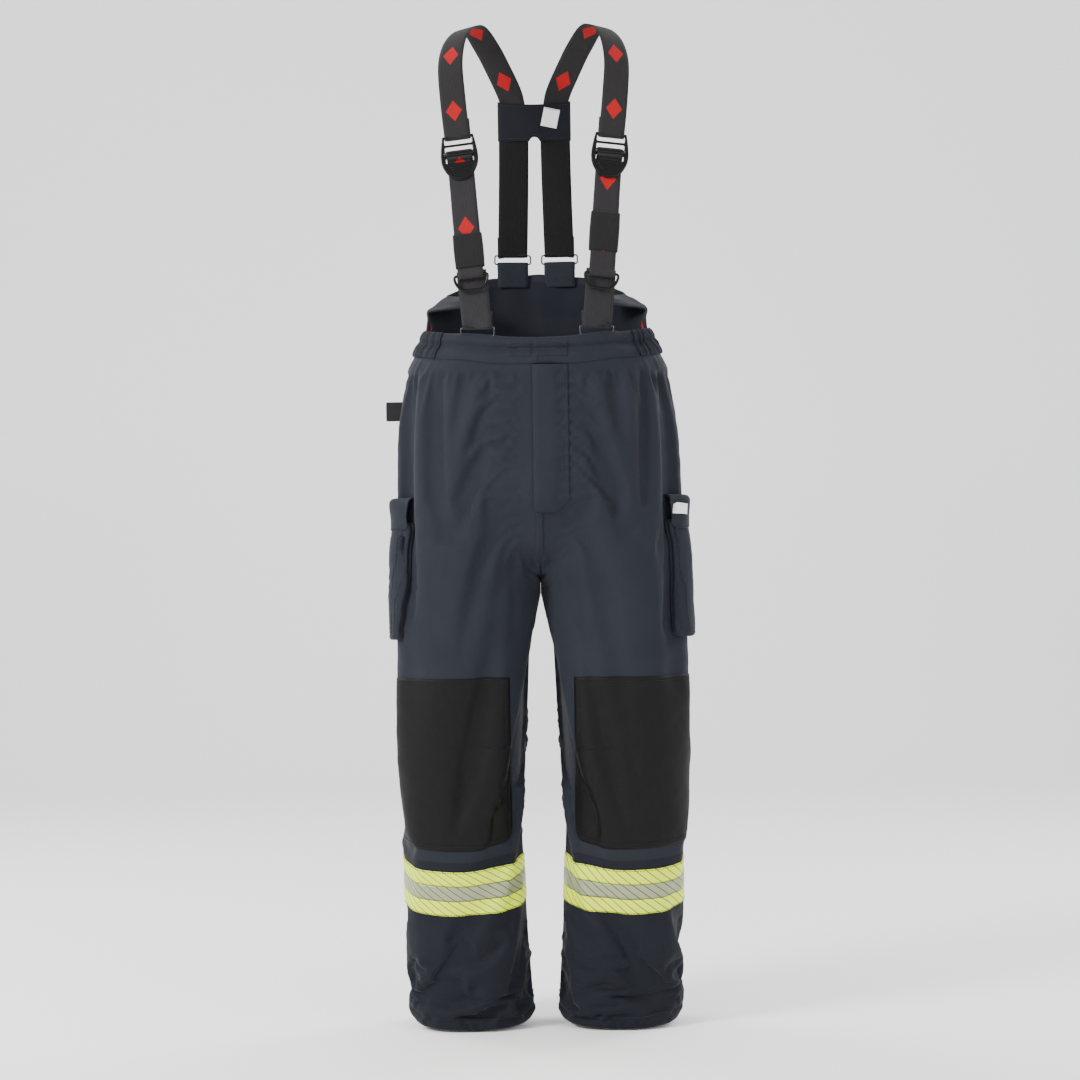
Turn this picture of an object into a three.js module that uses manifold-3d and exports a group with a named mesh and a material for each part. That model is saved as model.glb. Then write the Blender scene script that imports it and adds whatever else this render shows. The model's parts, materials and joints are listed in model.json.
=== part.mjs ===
// Bunker pants: heavy firefighter trousers with a raised back and H-back suspenders.
// Millimetres, +Z up. +X is the wearer's left, +Y points out of the wearer's back.
// The garment is laid out from the floor up, then lowered so that the origin is the point
// midway between the tops of the two shoulder straps, where the trousers hang.

import * as THREE from 'three';
import { mergeVertices } from 'three/addons/utils/BufferGeometryUtils.js';
import Module from 'manifold-3d';

const wasm = await Module();
wasm.setup();

// ---------------------------------------------------------------- driving dimensions

const AROUND = 20; // facets round the trunk and round each leg
const ROUNDNESS = 2.4; // superellipse power of every section: 2 is an ellipse
const GAP = 0.3; // clearance kept between neighbouring pieces

const SHELL = 2; // outer shell, facing and seam allowance together
const LINER_IN = 2.4; // thermal liner, measured inwards from the shell's face
const LINER_OUT = 5.4;
const PATCH = 1.6; // knee patch thickness
const TRIM = 1; // reflective trim thickness

const CROTCH_Z = 708;
const KNEE_Z = 430;
const KNEE_BAND = 60; // half height of the cloth that folds when the knee bends
const SHIN_LEAN = THREE.MathUtils.degToRad(13); // pre-bent lower legs slope back

const WAISTBAND = 41;
const BACK_SEAM_Z = 1065; // seam under the raised back
const EAR_Y = 5; // front edge of the raised back

const ZIP_X = 12;
const ZIP_SLOT = 7.3; // half width of the opening between the front panels
const ZIP_BOTTOM = 832;
const FLAP_LEFT = 45.5; // stitched edge of the fly flap
const FLAP_RIGHT = -8; // free edge of the fly flap
const FLAP_BOTTOM = 821;
const TAB_HINGE_X = -9;
const TAB_END_X = -47;

const POCKET_DEPTH = 12;
const POCKET_BACK_Y = 75;
const POCKET_FRONT_Y = -65;
const POCKET_TOP = 806;
const POCKET_BOTTOM = 626;
const POCKET_FLAP_TOP = 845;
const POCKET_FLAP_BOTTOM = 793;

const BAND_TOP = 151; // from the knee down the shin to the reflective trim
const STRIPE = 25;

const WEBBING = 40;
const WEB_THICK = 1.8;
const ELASTIC = 48;
const TAB_WEBBING = 46;
const SHOULDER_TOP = new THREE.Vector3(0, 15, 1586);

// Sections: height, centre (x, y), half width, half depth.
const TRUNK = [
  { z: 1240, x: 0, y: 11, w: 178, d: 121 },
  { z: 1138, x: 0, y: 5, w: 180, d: 117 },
  { z: 1112, x: 0, y: 1, w: 171, d: 112 },
  { z: 1067, x: 0, y: 0, w: 191, d: 115.5 },
  { z: 1020, x: 0, y: 0, w: 207, d: 119.5 },
  { z: 960, x: 0, y: 0, w: 219, d: 124.5 },
  { z: 840, x: 0, y: 0, w: 222, d: 134.5 },
  { z: 765, x: 0, y: 0, w: 214, d: 100 },
  { z: CROTCH_Z + 6, x: 0, y: 0, w: 60, d: 30 },
];
const LEG = [
  { z: 845, x: 100, y: 0, w: 100, d: 112 },
  { z: 770, x: 109, y: 1, w: 113, d: 118 },
  { z: CROTCH_Z, x: 113.5, y: 2, w: 110.5, d: 112 },
  { z: 620, x: 122, y: 0, w: 103, d: 102 },
  { z: 525, x: 126, y: 0, w: 103, d: 94 },
  { z: KNEE_Z, x: 128, y: 3, w: 99, d: 87 },
  { z: 337, x: 127, y: 22, w: 92, d: 83 },
  { z: 243, x: 122, y: 44, w: 91, d: 80 },
  { z: 149, x: 118, y: 65, w: 91, d: 78 },
  { z: 55, x: 114, y: 87, w: 93, d: 76 },
  { z: -30, x: 112, y: 106, w: 93, d: 76 },
];

// Side view (y, z) of the top edge: front waist, then the ear, then the raised back.
const FRONT_TOP = [[-200, 1084], [-116, 1086], [-103, 1094], [-60, 1102], [EAR_Y, 1109]];
const BACK_TOP = [[EAR_Y, 1136], [60, 1152], [97, 1181], [118, 1212], [200, 1212]];

// ---------------------------------------------------------------- colours

const NAVY = 0x22262f;
const BLACK = 0x16161a;
const fabric = (color, roughness = 0.9) => new THREE.MeshStandardMaterial({ color, roughness });
const shellCloth = fabric(NAVY);
const shinCloth = fabric(0x1b1d24);
const linerCloth = fabric(0x1a1d24, 0.95);
const patchCloth = fabric(BLACK, 0.75);
const yellowTrim = fabric(0xd7f21c, 0.6);
const silverTrim = new THREE.MeshStandardMaterial({ color: 0xa9ad9c, roughness: 0.4, metalness: 0.3 });
const webbing = fabric(0x2c2a2d, 0.8);
const elasticCloth = fabric(0x111112, 0.85);
const labelCloth = fabric(0xe8e8e6, 0.8);
const plastic = new THREE.MeshStandardMaterial({ color: 0x141415, roughness: 0.4 });
const wireMetal = new THREE.MeshStandardMaterial({ color: 0x8d8f92, roughness: 0.3, metalness: 1 });

// ---------------------------------------------------------------- helpers

const vector = (x, y, z) => new THREE.Vector3(x, y, z);
const garment = new THREE.Group();

function solidOf(geometry) {
  const bare = geometry.clone();
  bare.deleteAttribute('normal');
  bare.deleteAttribute('uv');
  const merged = mergeVertices(bare, 1e-4);
  return new wasm.Manifold(new wasm.Mesh({
    numProp: 3,
    vertProperties: new Float32Array(merged.attributes.position.array),
    triVerts: new Uint32Array(merged.index.array),
  }));
}

function geometryOf(solid) {
  const mesh = solid.getMesh();
  const geometry = new THREE.BufferGeometry();
  geometry.setAttribute('position', new THREE.BufferAttribute(mesh.vertProperties, 3));
  geometry.setIndex(new THREE.BufferAttribute(mesh.triVerts, 1));
  geometry.computeVertexNormals();
  return geometry;
}

// Adds one named piece to the garment, from a geometry or from a manifold solid.
function piece(name, shape, material, parent = garment) {
  const geometry = shape.isBufferGeometry ? shape : geometryOf(shape);
  const mesh = new THREE.Mesh(geometry, material);
  mesh.name = name;
  parent.add(mesh);
  return mesh;
}

// Moves every vertex of a geometry to where place(vertex) puts it.
function warp(geometry, place) {
  const position = geometry.attributes.position;
  const vertex = new THREE.Vector3();
  for (let i = 0; i < position.count; i += 1) {
    vertex.fromBufferAttribute(position, i);
    place(vertex);
    position.setXYZ(i, vertex.x, vertex.y, vertex.z);
  }
  return geometry;
}

const rounded = (t) => Math.sign(t) * Math.abs(t) ** (2 / ROUNDNESS);

// A closed tube through a list of sections, grown or shrunk by offset.
function loft(sections, offset, side) {
  const rows = sections.length - 1;
  const tube = new THREE.CylinderGeometry(1, 1, 1, AROUND, rows);
  warp(tube, (vertex) => {
    const section = sections[Math.round((0.5 - vertex.y) * rows)];
    const reach = Math.hypot(vertex.x, vertex.z) > 0.5 ? 1 : 0;
    const angle = Math.atan2(-vertex.z, vertex.x);
    vertex.set(
      side * section.x + reach * (section.w + offset) * rounded(Math.cos(angle)),
      section.y + reach * (section.d + offset) * rounded(Math.sin(angle)),
      section.z,
    );
  });
  return solidOf(tube);
}

const skins = new Map();

// The whole garment's body as one solid whose face lies offset outside the shell's face.
function skin(offset) {
  if (!skins.has(offset)) {
    const legs = loft(LEG, offset, 1).add(loft(LEG, offset, -1));
    skins.set(offset, loft(TRUNK, offset, 1).add(legs));
  }
  return skins.get(offset);
}

// The layer of cloth between two offsets.
const layer = (inner, outer) => skin(outer).subtract(skin(inner));

function block(low, high) {
  const size = high.clone().sub(low);
  const box = new THREE.BoxGeometry(size.x, size.y, size.z);
  return box.translate(...low.clone().add(high).multiplyScalar(0.5));
}

const box = (x0, x1, y0, y1, z0, z1) => solidOf(block(vector(x0, y0, z0), vector(x1, y1, z1)));

const flatShape = (outline) => new THREE.Shape(outline.map(([u, v]) => new THREE.Vector2(u, v)));

// An outline in (x, z), cut through from front to back.
function frontCut(outline, y0 = -300, y1 = 0) {
  const shape = Array.isArray(outline) ? flatShape(outline) : outline;
  const cut = new THREE.ExtrudeGeometry(shape, { depth: y1 - y0, bevelEnabled: false, curveSegments: 5 });
  return solidOf(cut.rotateX(Math.PI / 2).translate(0, y1, 0));
}

// An outline in (y, z), cut through from side to side.
function sideCut(outline, x0 = -300, x1 = 300) {
  const cut = new THREE.ExtrudeGeometry(flatShape(outline), { depth: x1 - x0, bevelEnabled: false });
  return solidOf(warp(cut, (v) => v.set(v.z + x0, v.x, v.y)));
}

// A slab across both shins, between two distances down the shin from the knee.
function shinSlab(from, to, side) {
  const slab = block(vector(Math.min(0, side * 260), -200, -to), vector(Math.max(0, side * 260), 200, -from));
  return solidOf(slab.rotateX(SHIN_LEAN).translate(0, 3, KNEE_Z));
}

const sideName = (side) => (side > 0 ? 'left' : 'right');
const bothSides = (make) => [1, -1].forEach((side) => make(side, sideName(side)));

// ---------------------------------------------------------------- shell and liner

const KNEE_TOP = KNEE_Z + KNEE_BAND;
const KNEE_LOW = KNEE_Z - KNEE_BAND;
const HEM = 422; // down the shin from the knee
const lowered = (line, drop) => line.map(([y, z]) => [y, z - drop]);

function half(side, y0, y1, z0, z1) {
  return side > 0 ? box(GAP / 2, 300, y0, y1, z0, z1) : box(-300, -GAP / 2, y0, y1, z0, z1);
}

// The front panel's outline steps aside for the zip above the fly's bottom.
function frontOutline(side) {
  const edge = ZIP_X + side * ZIP_SLOT;
  const centre = side * GAP / 2;
  return [
    [centre, KNEE_TOP + GAP], [centre, ZIP_BOTTOM], [edge, ZIP_BOTTOM], [edge, 1120],
    [side * 300, 1120], [side * 300, KNEE_TOP + GAP],
  ];
}

function makeShell(side, name) {
  const cloth = layer(-SHELL, 0);
  const underBand = sideCut([
    [-300, 400], [-300, 1084 - WAISTBAND - GAP], ...lowered(FRONT_TOP, WAISTBAND + GAP), [EAR_Y, 400],
  ]);
  const front = frontCut(frontOutline(side), -300, -GAP / 2);
  piece(`front_panel_${name}`, cloth.intersect(front).intersect(underBand), shellCloth);
  const back = half(side, GAP / 2, 300, KNEE_TOP + GAP, BACK_SEAM_Z - GAP);
  const seat = cloth.intersect(back).subtract(box(-300, 300, 0, EAR_Y + GAP, 1109 - WAISTBAND - GAP, 1200));
  piece(`back_panel_${name}`, seat, shellCloth);
}

function makeKneeCloth(side, name) {
  const cloth = layer(-LINER_OUT, 0);
  piece(`knee_cloth_${name}`, cloth.intersect(half(side, -300, 300, KNEE_LOW, KNEE_TOP)), shellCloth);
}

function makeLowerLeg(side, name) {
  const below = half(side, -300, 300, -100, KNEE_LOW - GAP);
  const aboveHem = shinSlab(-100, HEM, side);
  const shell = layer(-SHELL, 0).intersect(below).intersect(aboveHem);
  piece(`lower_leg_${name}`, shell, shinCloth);
  const liner = layer(-LINER_OUT, -LINER_IN).intersect(below).intersect(shinSlab(-100, HEM - 30, side));
  piece(`lower_liner_${name}`, liner, linerCloth);
}

function makeUpperLiner(side, name) {
  const region = half(side, -300, 300, KNEE_TOP + GAP, BACK_SEAM_Z - WAISTBAND);
  piece(`upper_liner_${name}`, layer(-LINER_OUT, -LINER_IN).intersect(region), linerCloth);
}

function makeRaisedBack() {
  const region = sideCut([
    [EAR_Y + GAP, BACK_SEAM_Z + 3], ...BACK_TOP.map(([y, z]) => [y + GAP, z]), [220, 1212],
    [220, BACK_SEAM_Z],
  ].reverse());
  const seam = box(-300, 300, 0, 300, BACK_SEAM_Z, 1300);
  piece('raised_back', layer(-SHELL - 1, 0).intersect(region).intersect(seam), shellCloth);
}

// ---------------------------------------------------------------- waist

const ELASTIC_Y = -75; // the gathered side elastic starts behind this line

function waistStrip(y0, y1) {
  const top = FRONT_TOP;
  const bottom = lowered(FRONT_TOP, WAISTBAND).reverse();
  const strip = sideCut([...bottom, ...top].reverse());
  return strip.intersect(box(-300, 300, y0, y1, 900, 1200));
}

function makeWaistband(side, name) {
  const band = layer(-3.5, 1).intersect(waistStrip(-300, ELASTIC_Y));
  const edge = ZIP_X + side * GAP / 2;
  const sideBox = side > 0 ? box(edge, 300, -300, 0, 900, 1200) : box(-300, edge, -300, 0, 900, 1200);
  piece(`waistband_${name}`, band.intersect(sideBox).subtract(wireChannel(side)), shellCloth);
  const gathered = layer(-4.5, 1).intersect(waistStrip(ELASTIC_Y + GAP, EAR_Y));
  const outer = side > 0 ? box(60, 300, -300, 300, 900, 1200) : box(-300, -60, -300, 300, 900, 1200);
  piece(`side_elastic_${name}`, gathered.intersect(outer), shellCloth);
}

function makeWaistTab() {
  const [z0, z1] = [1056, 1081];
  const cloth = layer(1.3, 3.1);
  const base = box(TAB_HINGE_X + GAP / 2, FLAP_LEFT, -300, 0, z0, z1);
  piece('waist_tab_base', cloth.intersect(base), shellCloth);
  const round = 8;
  const outline = new THREE.Shape();
  outline.moveTo(TAB_HINGE_X - GAP / 2, z0);
  outline.lineTo(TAB_HINGE_X - GAP / 2, z1);
  outline.lineTo(TAB_END_X + round, z1);
  outline.absarc(TAB_END_X + round, z1 - round, round, Math.PI / 2, Math.PI, false);
  outline.absarc(TAB_END_X + round, z0 + round, round, Math.PI, 1.5 * Math.PI, false);
  piece('waist_tab', cloth.intersect(frontCut(outline)), shellCloth);
}

// ---------------------------------------------------------------- fly

function makeFly() {
  const corner = 21;
  const outline = new THREE.Shape();
  outline.moveTo(FLAP_RIGHT, FLAP_BOTTOM);
  outline.quadraticCurveTo(FLAP_LEFT - 6, FLAP_BOTTOM, FLAP_LEFT, FLAP_BOTTOM + corner);
  outline.lineTo(FLAP_LEFT, 1044);
  outline.lineTo(FLAP_RIGHT, 1042);
  piece('fly_flap', layer(4.5, 6).intersect(frontCut(outline)), shellCloth);
  const placket = box(24, FLAP_LEFT - 1, -300, 0, FLAP_BOTTOM + corner, 1042);
  piece('fly_placket', layer(GAP, 4.2).intersect(placket), shellCloth);
  const tape = box(ZIP_X - ZIP_SLOT + GAP, ZIP_X + ZIP_SLOT - GAP, -300, 0, ZIP_BOTTOM + GAP, 1040);
  const middle = box(ZIP_X - 2.3, ZIP_X + 2.3, -300, 0, ZIP_BOTTOM + 6, 1041);
  piece('zip_tape', layer(-SHELL, -0.6).intersect(tape).subtract(middle), elasticCloth);
  const chain = box(ZIP_X - 2, ZIP_X + 2, -300, 0, ZIP_BOTTOM + 6 + GAP, 1040);
  piece('zip_chain', layer(-SHELL, 0.4).intersect(chain), plastic);
}

// The slider's body and its pull, standing just in front of the chain.
function makeSlider() {
  const body = new THREE.Shape();
  body.moveTo(-3, -6);
  body.lineTo(3, -6);
  body.lineTo(5, 4);
  body.lineTo(3.5, 7);
  body.lineTo(-3.5, 7);
  body.lineTo(-5, 4);
  const bevel = { bevelThickness: 0.4, bevelSize: 0.4, bevelSegments: 1 };
  const slider = solidOf(new THREE.ExtrudeGeometry(body, { depth: 1.7, ...bevel }).translate(0, 0, 0.4));
  const pull = solidOf(new THREE.BoxGeometry(4, 24, 1).translate(0, -14, 1.9));
  const mesh = piece('zip_slider', slider.add(pull), wireMetal);
  const front = frontDepth(1030);
  mesh.position.set(ZIP_X, -front - 0.7, 1030);
  mesh.rotation.x = Math.PI / 2 - Math.atan2(frontDepth(900) - frontDepth(1030), 130);
}

// Distance from the middle plane to the shell's face at the zip, at height z.
function frontDepth(z) {
  const above = TRUNK.findLastIndex((section) => section.z >= z);
  const [high, low] = [TRUNK[above], TRUNK[above + 1]];
  const t = (high.z - z) / (high.z - low.z);
  return THREE.MathUtils.lerp(high.d - high.y, low.d - low.y, t);
}

// ---------------------------------------------------------------- legs' trim

function makeKneePatch(side, name) {
  const [inner, low, high, round] = [50, 296, 567, 18];
  const outline = new THREE.Shape();
  outline.moveTo(side * inner, high);
  outline.lineTo(side * inner, low + round);
  outline.quadraticCurveTo(side * inner, low, side * (inner + round), low);
  outline.lineTo(side * 260, low);
  outline.lineTo(side * 260, high);
  const cut = frontCut(outline, -300, 10);
  piece(`knee_patch_${name}`, layer(GAP, GAP + PATCH).intersect(cut), patchCloth);
}

function makeTrim(side, name) {
  ['yellow_upper', 'silver', 'yellow_lower'].forEach((stripe, i) => {
    const from = BAND_TOP + i * STRIPE;
    const slab = shinSlab(from + GAP / 2, from + STRIPE - GAP / 2, side);
    const cloth = layer(GAP, GAP + TRIM).intersect(slab);
    piece(`${stripe}_stripe_${name}`, cloth, i === 1 ? silverTrim : yellowTrim);
  });
}

// ---------------------------------------------------------------- cargo pockets

function makePocket(side, name) {
  const out = (x0, x1, ...rest) => (side > 0 ? box(x0, x1, ...rest) : box(-x1, -x0, ...rest));
  const [y0, y1] = [POCKET_FRONT_Y, POCKET_BACK_Y];
  const bag = layer(GAP, POCKET_DEPTH).intersect(out(150, 300, y0, y1, POCKET_BOTTOM, POCKET_TOP));
  const room = layer(0, POCKET_DEPTH - 1.5)
    .intersect(out(140, 300, y0 + 2, y1 - 2, POCKET_BOTTOM + 2, POCKET_TOP + 50));
  piece(`pocket_${name}`, bag.subtract(room), shellCloth);
  const face = layer(POCKET_DEPTH + 0.4, POCKET_DEPTH + 2.2);
  const hang = face.intersect(out(140, 300, y0, y1, POCKET_FLAP_BOTTOM, POCKET_FLAP_TOP));
  const roof = layer(0.4, POCKET_DEPTH + 2.2)
    .intersect(out(140, 300, y0, y1, POCKET_FLAP_TOP - 2, POCKET_FLAP_TOP));
  piece(`pocket_flap_${name}`, hang.add(roof), shellCloth);
}

function makePocketLabel() {
  const label = layer(POCKET_DEPTH + 2.5, POCKET_DEPTH + 3.2);
  piece('pocket_label', label.intersect(box(150, 300, -60, -46, 814, 832)), labelCloth);
}

function makeHipTab() {
  const outline = flatShape([[-219.5, 966], [-216.5, 997], [-235, 993], [-236, 968]]);
  const tab = new THREE.ExtrudeGeometry(outline, { depth: 3, bevelEnabled: false });
  piece('hip_tab', tab.rotateX(Math.PI / 2).translate(-3, 1.5, 0), webbing);
}

// ---------------------------------------------------------------- webbing

// A flat strap through a list of { at, across } stations, made by bending a box.
function ribbon(stations, width, thickness) {
  const count = stations.length - 1;
  const strap = new THREE.BoxGeometry(1, 1, 1, 1, 1, count);
  return warp(strap, (vertex) => {
    const i = Math.round((vertex.z + 0.5) * count);
    const before = stations[Math.max(i - 1, 0)].at;
    const after = stations[Math.min(i + 1, count)].at;
    const tangent = after.clone().sub(before).normalize();
    const across = stations[i].across.clone().addScaledVector(tangent, -stations[i].across.dot(tangent));
    across.normalize();
    const normal = tangent.clone().cross(across);
    const { at } = stations[i];
    const [u, v] = [vertex.x * width, vertex.y * thickness];
    vertex.copy(at).addScaledVector(across, u).addScaledVector(normal, v);
  });
}

// Stations along a route, up to but not including its end, turning from one width direction to another.
function eased(route, steps, from, to) {
  return Array.from({ length: steps }, (_, i) => ({
    at: route.getPoint(i / steps), across: from.clone().lerp(to, i / steps).normalize(),
  }));
}

// Stations of a fold round a bar: down the front, under the bar and up the back.
function fold(bar, down, facing, radius, tail) {
  const across = down.clone().cross(facing).normalize();
  const place = (f, d) => ({
    at: bar.clone().addScaledVector(facing, f).addScaledVector(down, d), across,
  });
  const turns = [0, 1, 2, 3, 4, 5, 6].map((i) => i * Math.PI / 6);
  const arc = turns.map((a) => place(radius * Math.cos(a), radius * Math.sin(a)));
  return [...arc, place(-radius, -tail)];
}

// A nested group whose X runs across a strap, Y up along it and Z out of its face.
function strapGroup(at, up, facing) {
  const group = new THREE.Group();
  const y = up.clone().normalize();
  const z = facing.clone().addScaledVector(y, -facing.dot(y)).normalize();
  const basis = new THREE.Matrix4().makeBasis(y.clone().cross(z), y, z);
  group.quaternion.setFromRotationMatrix(basis);
  group.position.copy(at);
  group.updateMatrix();
  garment.add(group);
  return group;
}

const local = (x, y, z) => vector(x, y, z);
const UP = vector(0, 1, 0);
const DOWN = vector(0, -1, 0);
const OUT = vector(0, 0, 1);
const carried = (stations, group) => stations.map(({ at, across }) => ({
  at: at.clone().applyMatrix4(group.matrix),
  across: across.clone().applyQuaternion(group.quaternion),
}));

// ---- wire loops

const WIRE = 1.3; // radius of the wire
const WIRE_FOLD = WIRE + 0.35 + WEB_THICK / 2;

// A closed loop of round wire: a torus bent to follow a flat ring of points in XY.
function closedWire(ring, radius) {
  const torus = new THREE.TorusGeometry(1, 0.5, 6, ring.length);
  return warp(torus, (vertex) => {
    const turn = Math.atan2(vertex.y, vertex.x) / (2 * Math.PI);
    const i = Math.round((turn + 1) * ring.length) % ring.length;
    const before = ring[(i + ring.length - 1) % ring.length];
    const after = ring[(i + 1) % ring.length];
    const tangent = after.clone().sub(before).normalize();
    const outward = vector(tangent.y, -tangent.x, 0);
    const reach = (Math.hypot(vertex.x, vertex.y) - 1) / 0.5 * radius;
    const lift = vertex.z / 0.5 * radius;
    vertex.copy(ring[i]).addScaledVector(outward, reach).addScaledVector(OUT, lift);
  });
}

// A rounded rectangle of wire with its lower bar's middle at the origin.
function wireLoop(width, height) {
  const corner = 3;
  const corners = [[1, 1, 0], [-1, 1, 0.5], [-1, -1, 1], [1, -1, 1.5]];
  const ring = corners.flatMap(([sx, sy, turn]) => [0, 1, 2, 3].map((i) => {
    const angle = (turn + i / 6) * Math.PI;
    const [x, y] = [sx * (width / 2 - corner), height / 2 + sy * (height / 2 - corner)];
    return vector(x + corner * Math.cos(angle), y + corner * Math.sin(angle), 0);
  }));
  return closedWire(ring, WIRE);
}

// ---- front straps: buckle, lower strap, keeper, D-ring and waist tab

const BUCKLE_BAR = vector(118, -79, 1398); // the bar in the upper strap's fold
const RING_BAR = vector(100, -103, 1183);
const WAIST_WIRE = vector(91, -102.3, 1088.5);
const WAIST_TURN = THREE.MathUtils.degToRad(16); // the waistband's turn round the body there
const STRAP_RUN = BUCKLE_BAR.distanceTo(RING_BAR);
const PLATE = 4; // buckle thickness
const BUCKLE_FOLD = 4.45;
const RING_FOLD = 4.6;
const KEEPER = { left: [-182, -122], right: [-205, -153] };

const onSide = (side, point) => vector(side * point.x, point.y, point.z);

function frontGroup(side) {
  const bar = onSide(side, BUCKLE_BAR);
  return strapGroup(bar, bar.clone().sub(onSide(side, RING_BAR)), vector(side * 0.12, -1, 0));
}

function slotHole(low, high) {
  const hole = new THREE.Path();
  hole.moveTo(-21.5, low);
  hole.lineTo(-21.5, high);
  hole.lineTo(21.5, high);
  hole.lineTo(21.5, low);
  return hole;
}

// Ladder-lock buckle: three slots and a rounded thumb tab, the upper bar at the origin.
function buckleGeometry() {
  const outline = new THREE.Shape();
  outline.moveTo(-24, 2);
  outline.lineTo(-29, -30);
  outline.lineTo(-28, -43);
  outline.quadraticCurveTo(-20, -68, 0, -68);
  outline.quadraticCurveTo(20, -68, 28, -43);
  outline.lineTo(29, -30);
  outline.lineTo(24, 2);
  outline.holes.push(slotHole(-11.5, -2), slotHole(-24, -15), slotHole(-40.5, -32.5));
  const plate = new THREE.ExtrudeGeometry(outline, {
    depth: PLATE - 1, bevelThickness: 0.5, bevelSize: 0.5, bevelOffset: -0.5, bevelSegments: 1,
    curveSegments: 6,
  });
  return plate.translate(0, 0, 0.5 - PLATE / 2);
}

// The lower strap from its tail, up and over the buckle's thick bar, down to the D-ring.
function lowerStrapStations(name) {
  const across = vector(1, 0, 0);
  const rest = -STRAP_RUN;
  const tailEnd = KEEPER[name][0] + 8;
  const weave = [
    [-6, tailEnd], [-6, -80], [-5.9, -37], [-3.6, -27], [-2.4, -22.8], [1.6, -22.2], [3.4, -24], [3.5, -31.5],
    [1.6, -34.2], [-1.6, -34.6], [-3.3, -38], [-3.3, -72], [-3.1, -90], [0, -120], [0, KEEPER[name][0] - 1],
  ];
  const run = weave.map(([z, y]) => ({ at: local(0, y, z), across }));
  const ring = fold(local(0, rest, 0), DOWN, OUT, RING_FOLD, 8);
  return [...run, ...ring.map(({ at }) => ({ at, across }))];
}

function dRingGeometry() {
  const outline = new THREE.Shape();
  outline.moveTo(-27, 2.5);
  outline.quadraticCurveTo(-28, -14, -15, -26);
  outline.lineTo(15, -26);
  outline.quadraticCurveTo(28, -14, 27, 2.5);
  const hole = new THREE.Path();
  hole.moveTo(-22, -2.5);
  hole.lineTo(22, -2.5);
  hole.quadraticCurveTo(22, -12, 13, -21);
  hole.lineTo(-13, -21);
  hole.quadraticCurveTo(-22, -12, -22, -2.5);
  outline.holes.push(hole);
  const ring = new THREE.ExtrudeGeometry(outline, {
    depth: 3.5, bevelThickness: 0.5, bevelSize: 0.4, bevelOffset: -0.4, bevelSegments: 1, curveSegments: 5,
  });
  return ring.translate(0, 0, -1.75);
}

function makeFrontHardware(side, name) {
  const group = frontGroup(side);
  piece(`buckle_${name}`, buckleGeometry(), plastic, group);
  piece(`lower_strap_${name}`, ribbon(lowerStrapStations(name), WEBBING, WEB_THICK), webbing, group);
  const [low, high] = KEEPER[name];
  const sleeve = solidOf(block(local(-22.5, low, -8.6), local(22.5, high, 2.8)));
  const room = solidOf(block(local(-20.8, low - 1, -7.2), local(20.8, high + 1, 1.4)));
  piece(`keeper_${name}`, sleeve.subtract(room), elasticCloth, group);
  const ring = piece(`d_ring_${name}`, dRingGeometry(), plastic, group);
  ring.position.y = -STRAP_RUN;
  return group;
}

function makeWaistAttachment(side, name, strapLine) {
  const group = strapGroup(onSide(side, WAIST_WIRE), vector(0, 0, 1), turned(side));
  piece(`wire_loop_${name}`, wireLoop(53, 14), wireMetal, group);
  const wrap = carried(fold(local(0, 14, 0), DOWN, OUT, WIRE_FOLD, 24), group);
  const [sewn] = carried([{ at: local(0, 8 - STRAP_RUN, -9), across: vector(-1, 0, 0) }], strapLine);
  const route = new THREE.LineCurve3(sewn.at, wrap[0].at);
  const strap = eased(route, 8, sewn.across, wrap[0].across);
  piece(`waist_webbing_${name}`, ribbon([...strap, ...wrap], TAB_WEBBING, WEB_THICK), webbing);
}

const turned = (side) => vector(side * Math.sin(WAIST_TURN), -Math.cos(WAIST_TURN), 0);

// The pocket in the waistband that the wire's lower bar sits in.
function wireChannel(side) {
  const room = new THREE.BoxGeometry(62, 7, 14).rotateZ(side * WAIST_TURN);
  return solidOf(room.translate(...onSide(side, WAIST_WIRE).add(vector(0, 0, 5))));
}

// ---- shoulder straps and yoke

// Where each shoulder strap runs above its buckle, with the way that its face looks.
const SHOULDER_RUN = [
  { at: [125.6, -62, 1464], facing: [0.1, -1, 0.25] },
  { at: [128.6, -42, 1523], facing: [0.3, -1, 0.5] },
  { at: [118, -14, 1567], facing: [0.45, -0.6, 1] },
  { at: [96, 15, 1585], facing: [0.15, 0, 1] },
  { at: [74, 47, 1561], facing: [0, 0.8, 0.8] },
  { at: [55, 72, 1528], facing: [0, 1, 0.6] },
  { at: [40, 90, 1498], facing: [0, 1, 0.3] },
  { at: [35, 96.5, 1480], facing: [0, 1, 0.1] },
  { at: [33, 98, 1462], facing: [0, 1, 0.08] },
];
const SHOULDER_STEPS = 32;

function makeShoulderStrap(side, name, group) {
  const wrap = carried(fold(local(0, 0, 0), DOWN, OUT, BUCKLE_FOLD, 28), group).reverse();
  const points = SHOULDER_RUN.map(({ at }) => mirror(side, at));
  const facings = SHOULDER_RUN.map(({ facing }) => mirror(side, facing));
  const route = new THREE.CatmullRomCurve3([wrap.at(-1).at, ...points]);
  const looks = new THREE.CatmullRomCurve3([group.getWorldDirection(vector()), ...facings]);
  const run = [];
  for (let i = 1; i <= SHOULDER_STEPS; i += 1) {
    const t = i / SHOULDER_STEPS;
    const across = looks.getPoint(t).cross(route.getTangent(t)).normalize();
    run.push({ at: route.getPoint(t), across });
  }
  piece(`shoulder_strap_${name}`, ribbon([...wrap, ...run], WEBBING, WEB_THICK), webbing);
}

const mirror = (side, [x, y, z]) => vector(side * x, y, z);

const YOKE = { low: 1421, high: 1484, half: 59, y: 98.6, depth: 8 };
const YOKE_TILT = 0.08;

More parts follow.
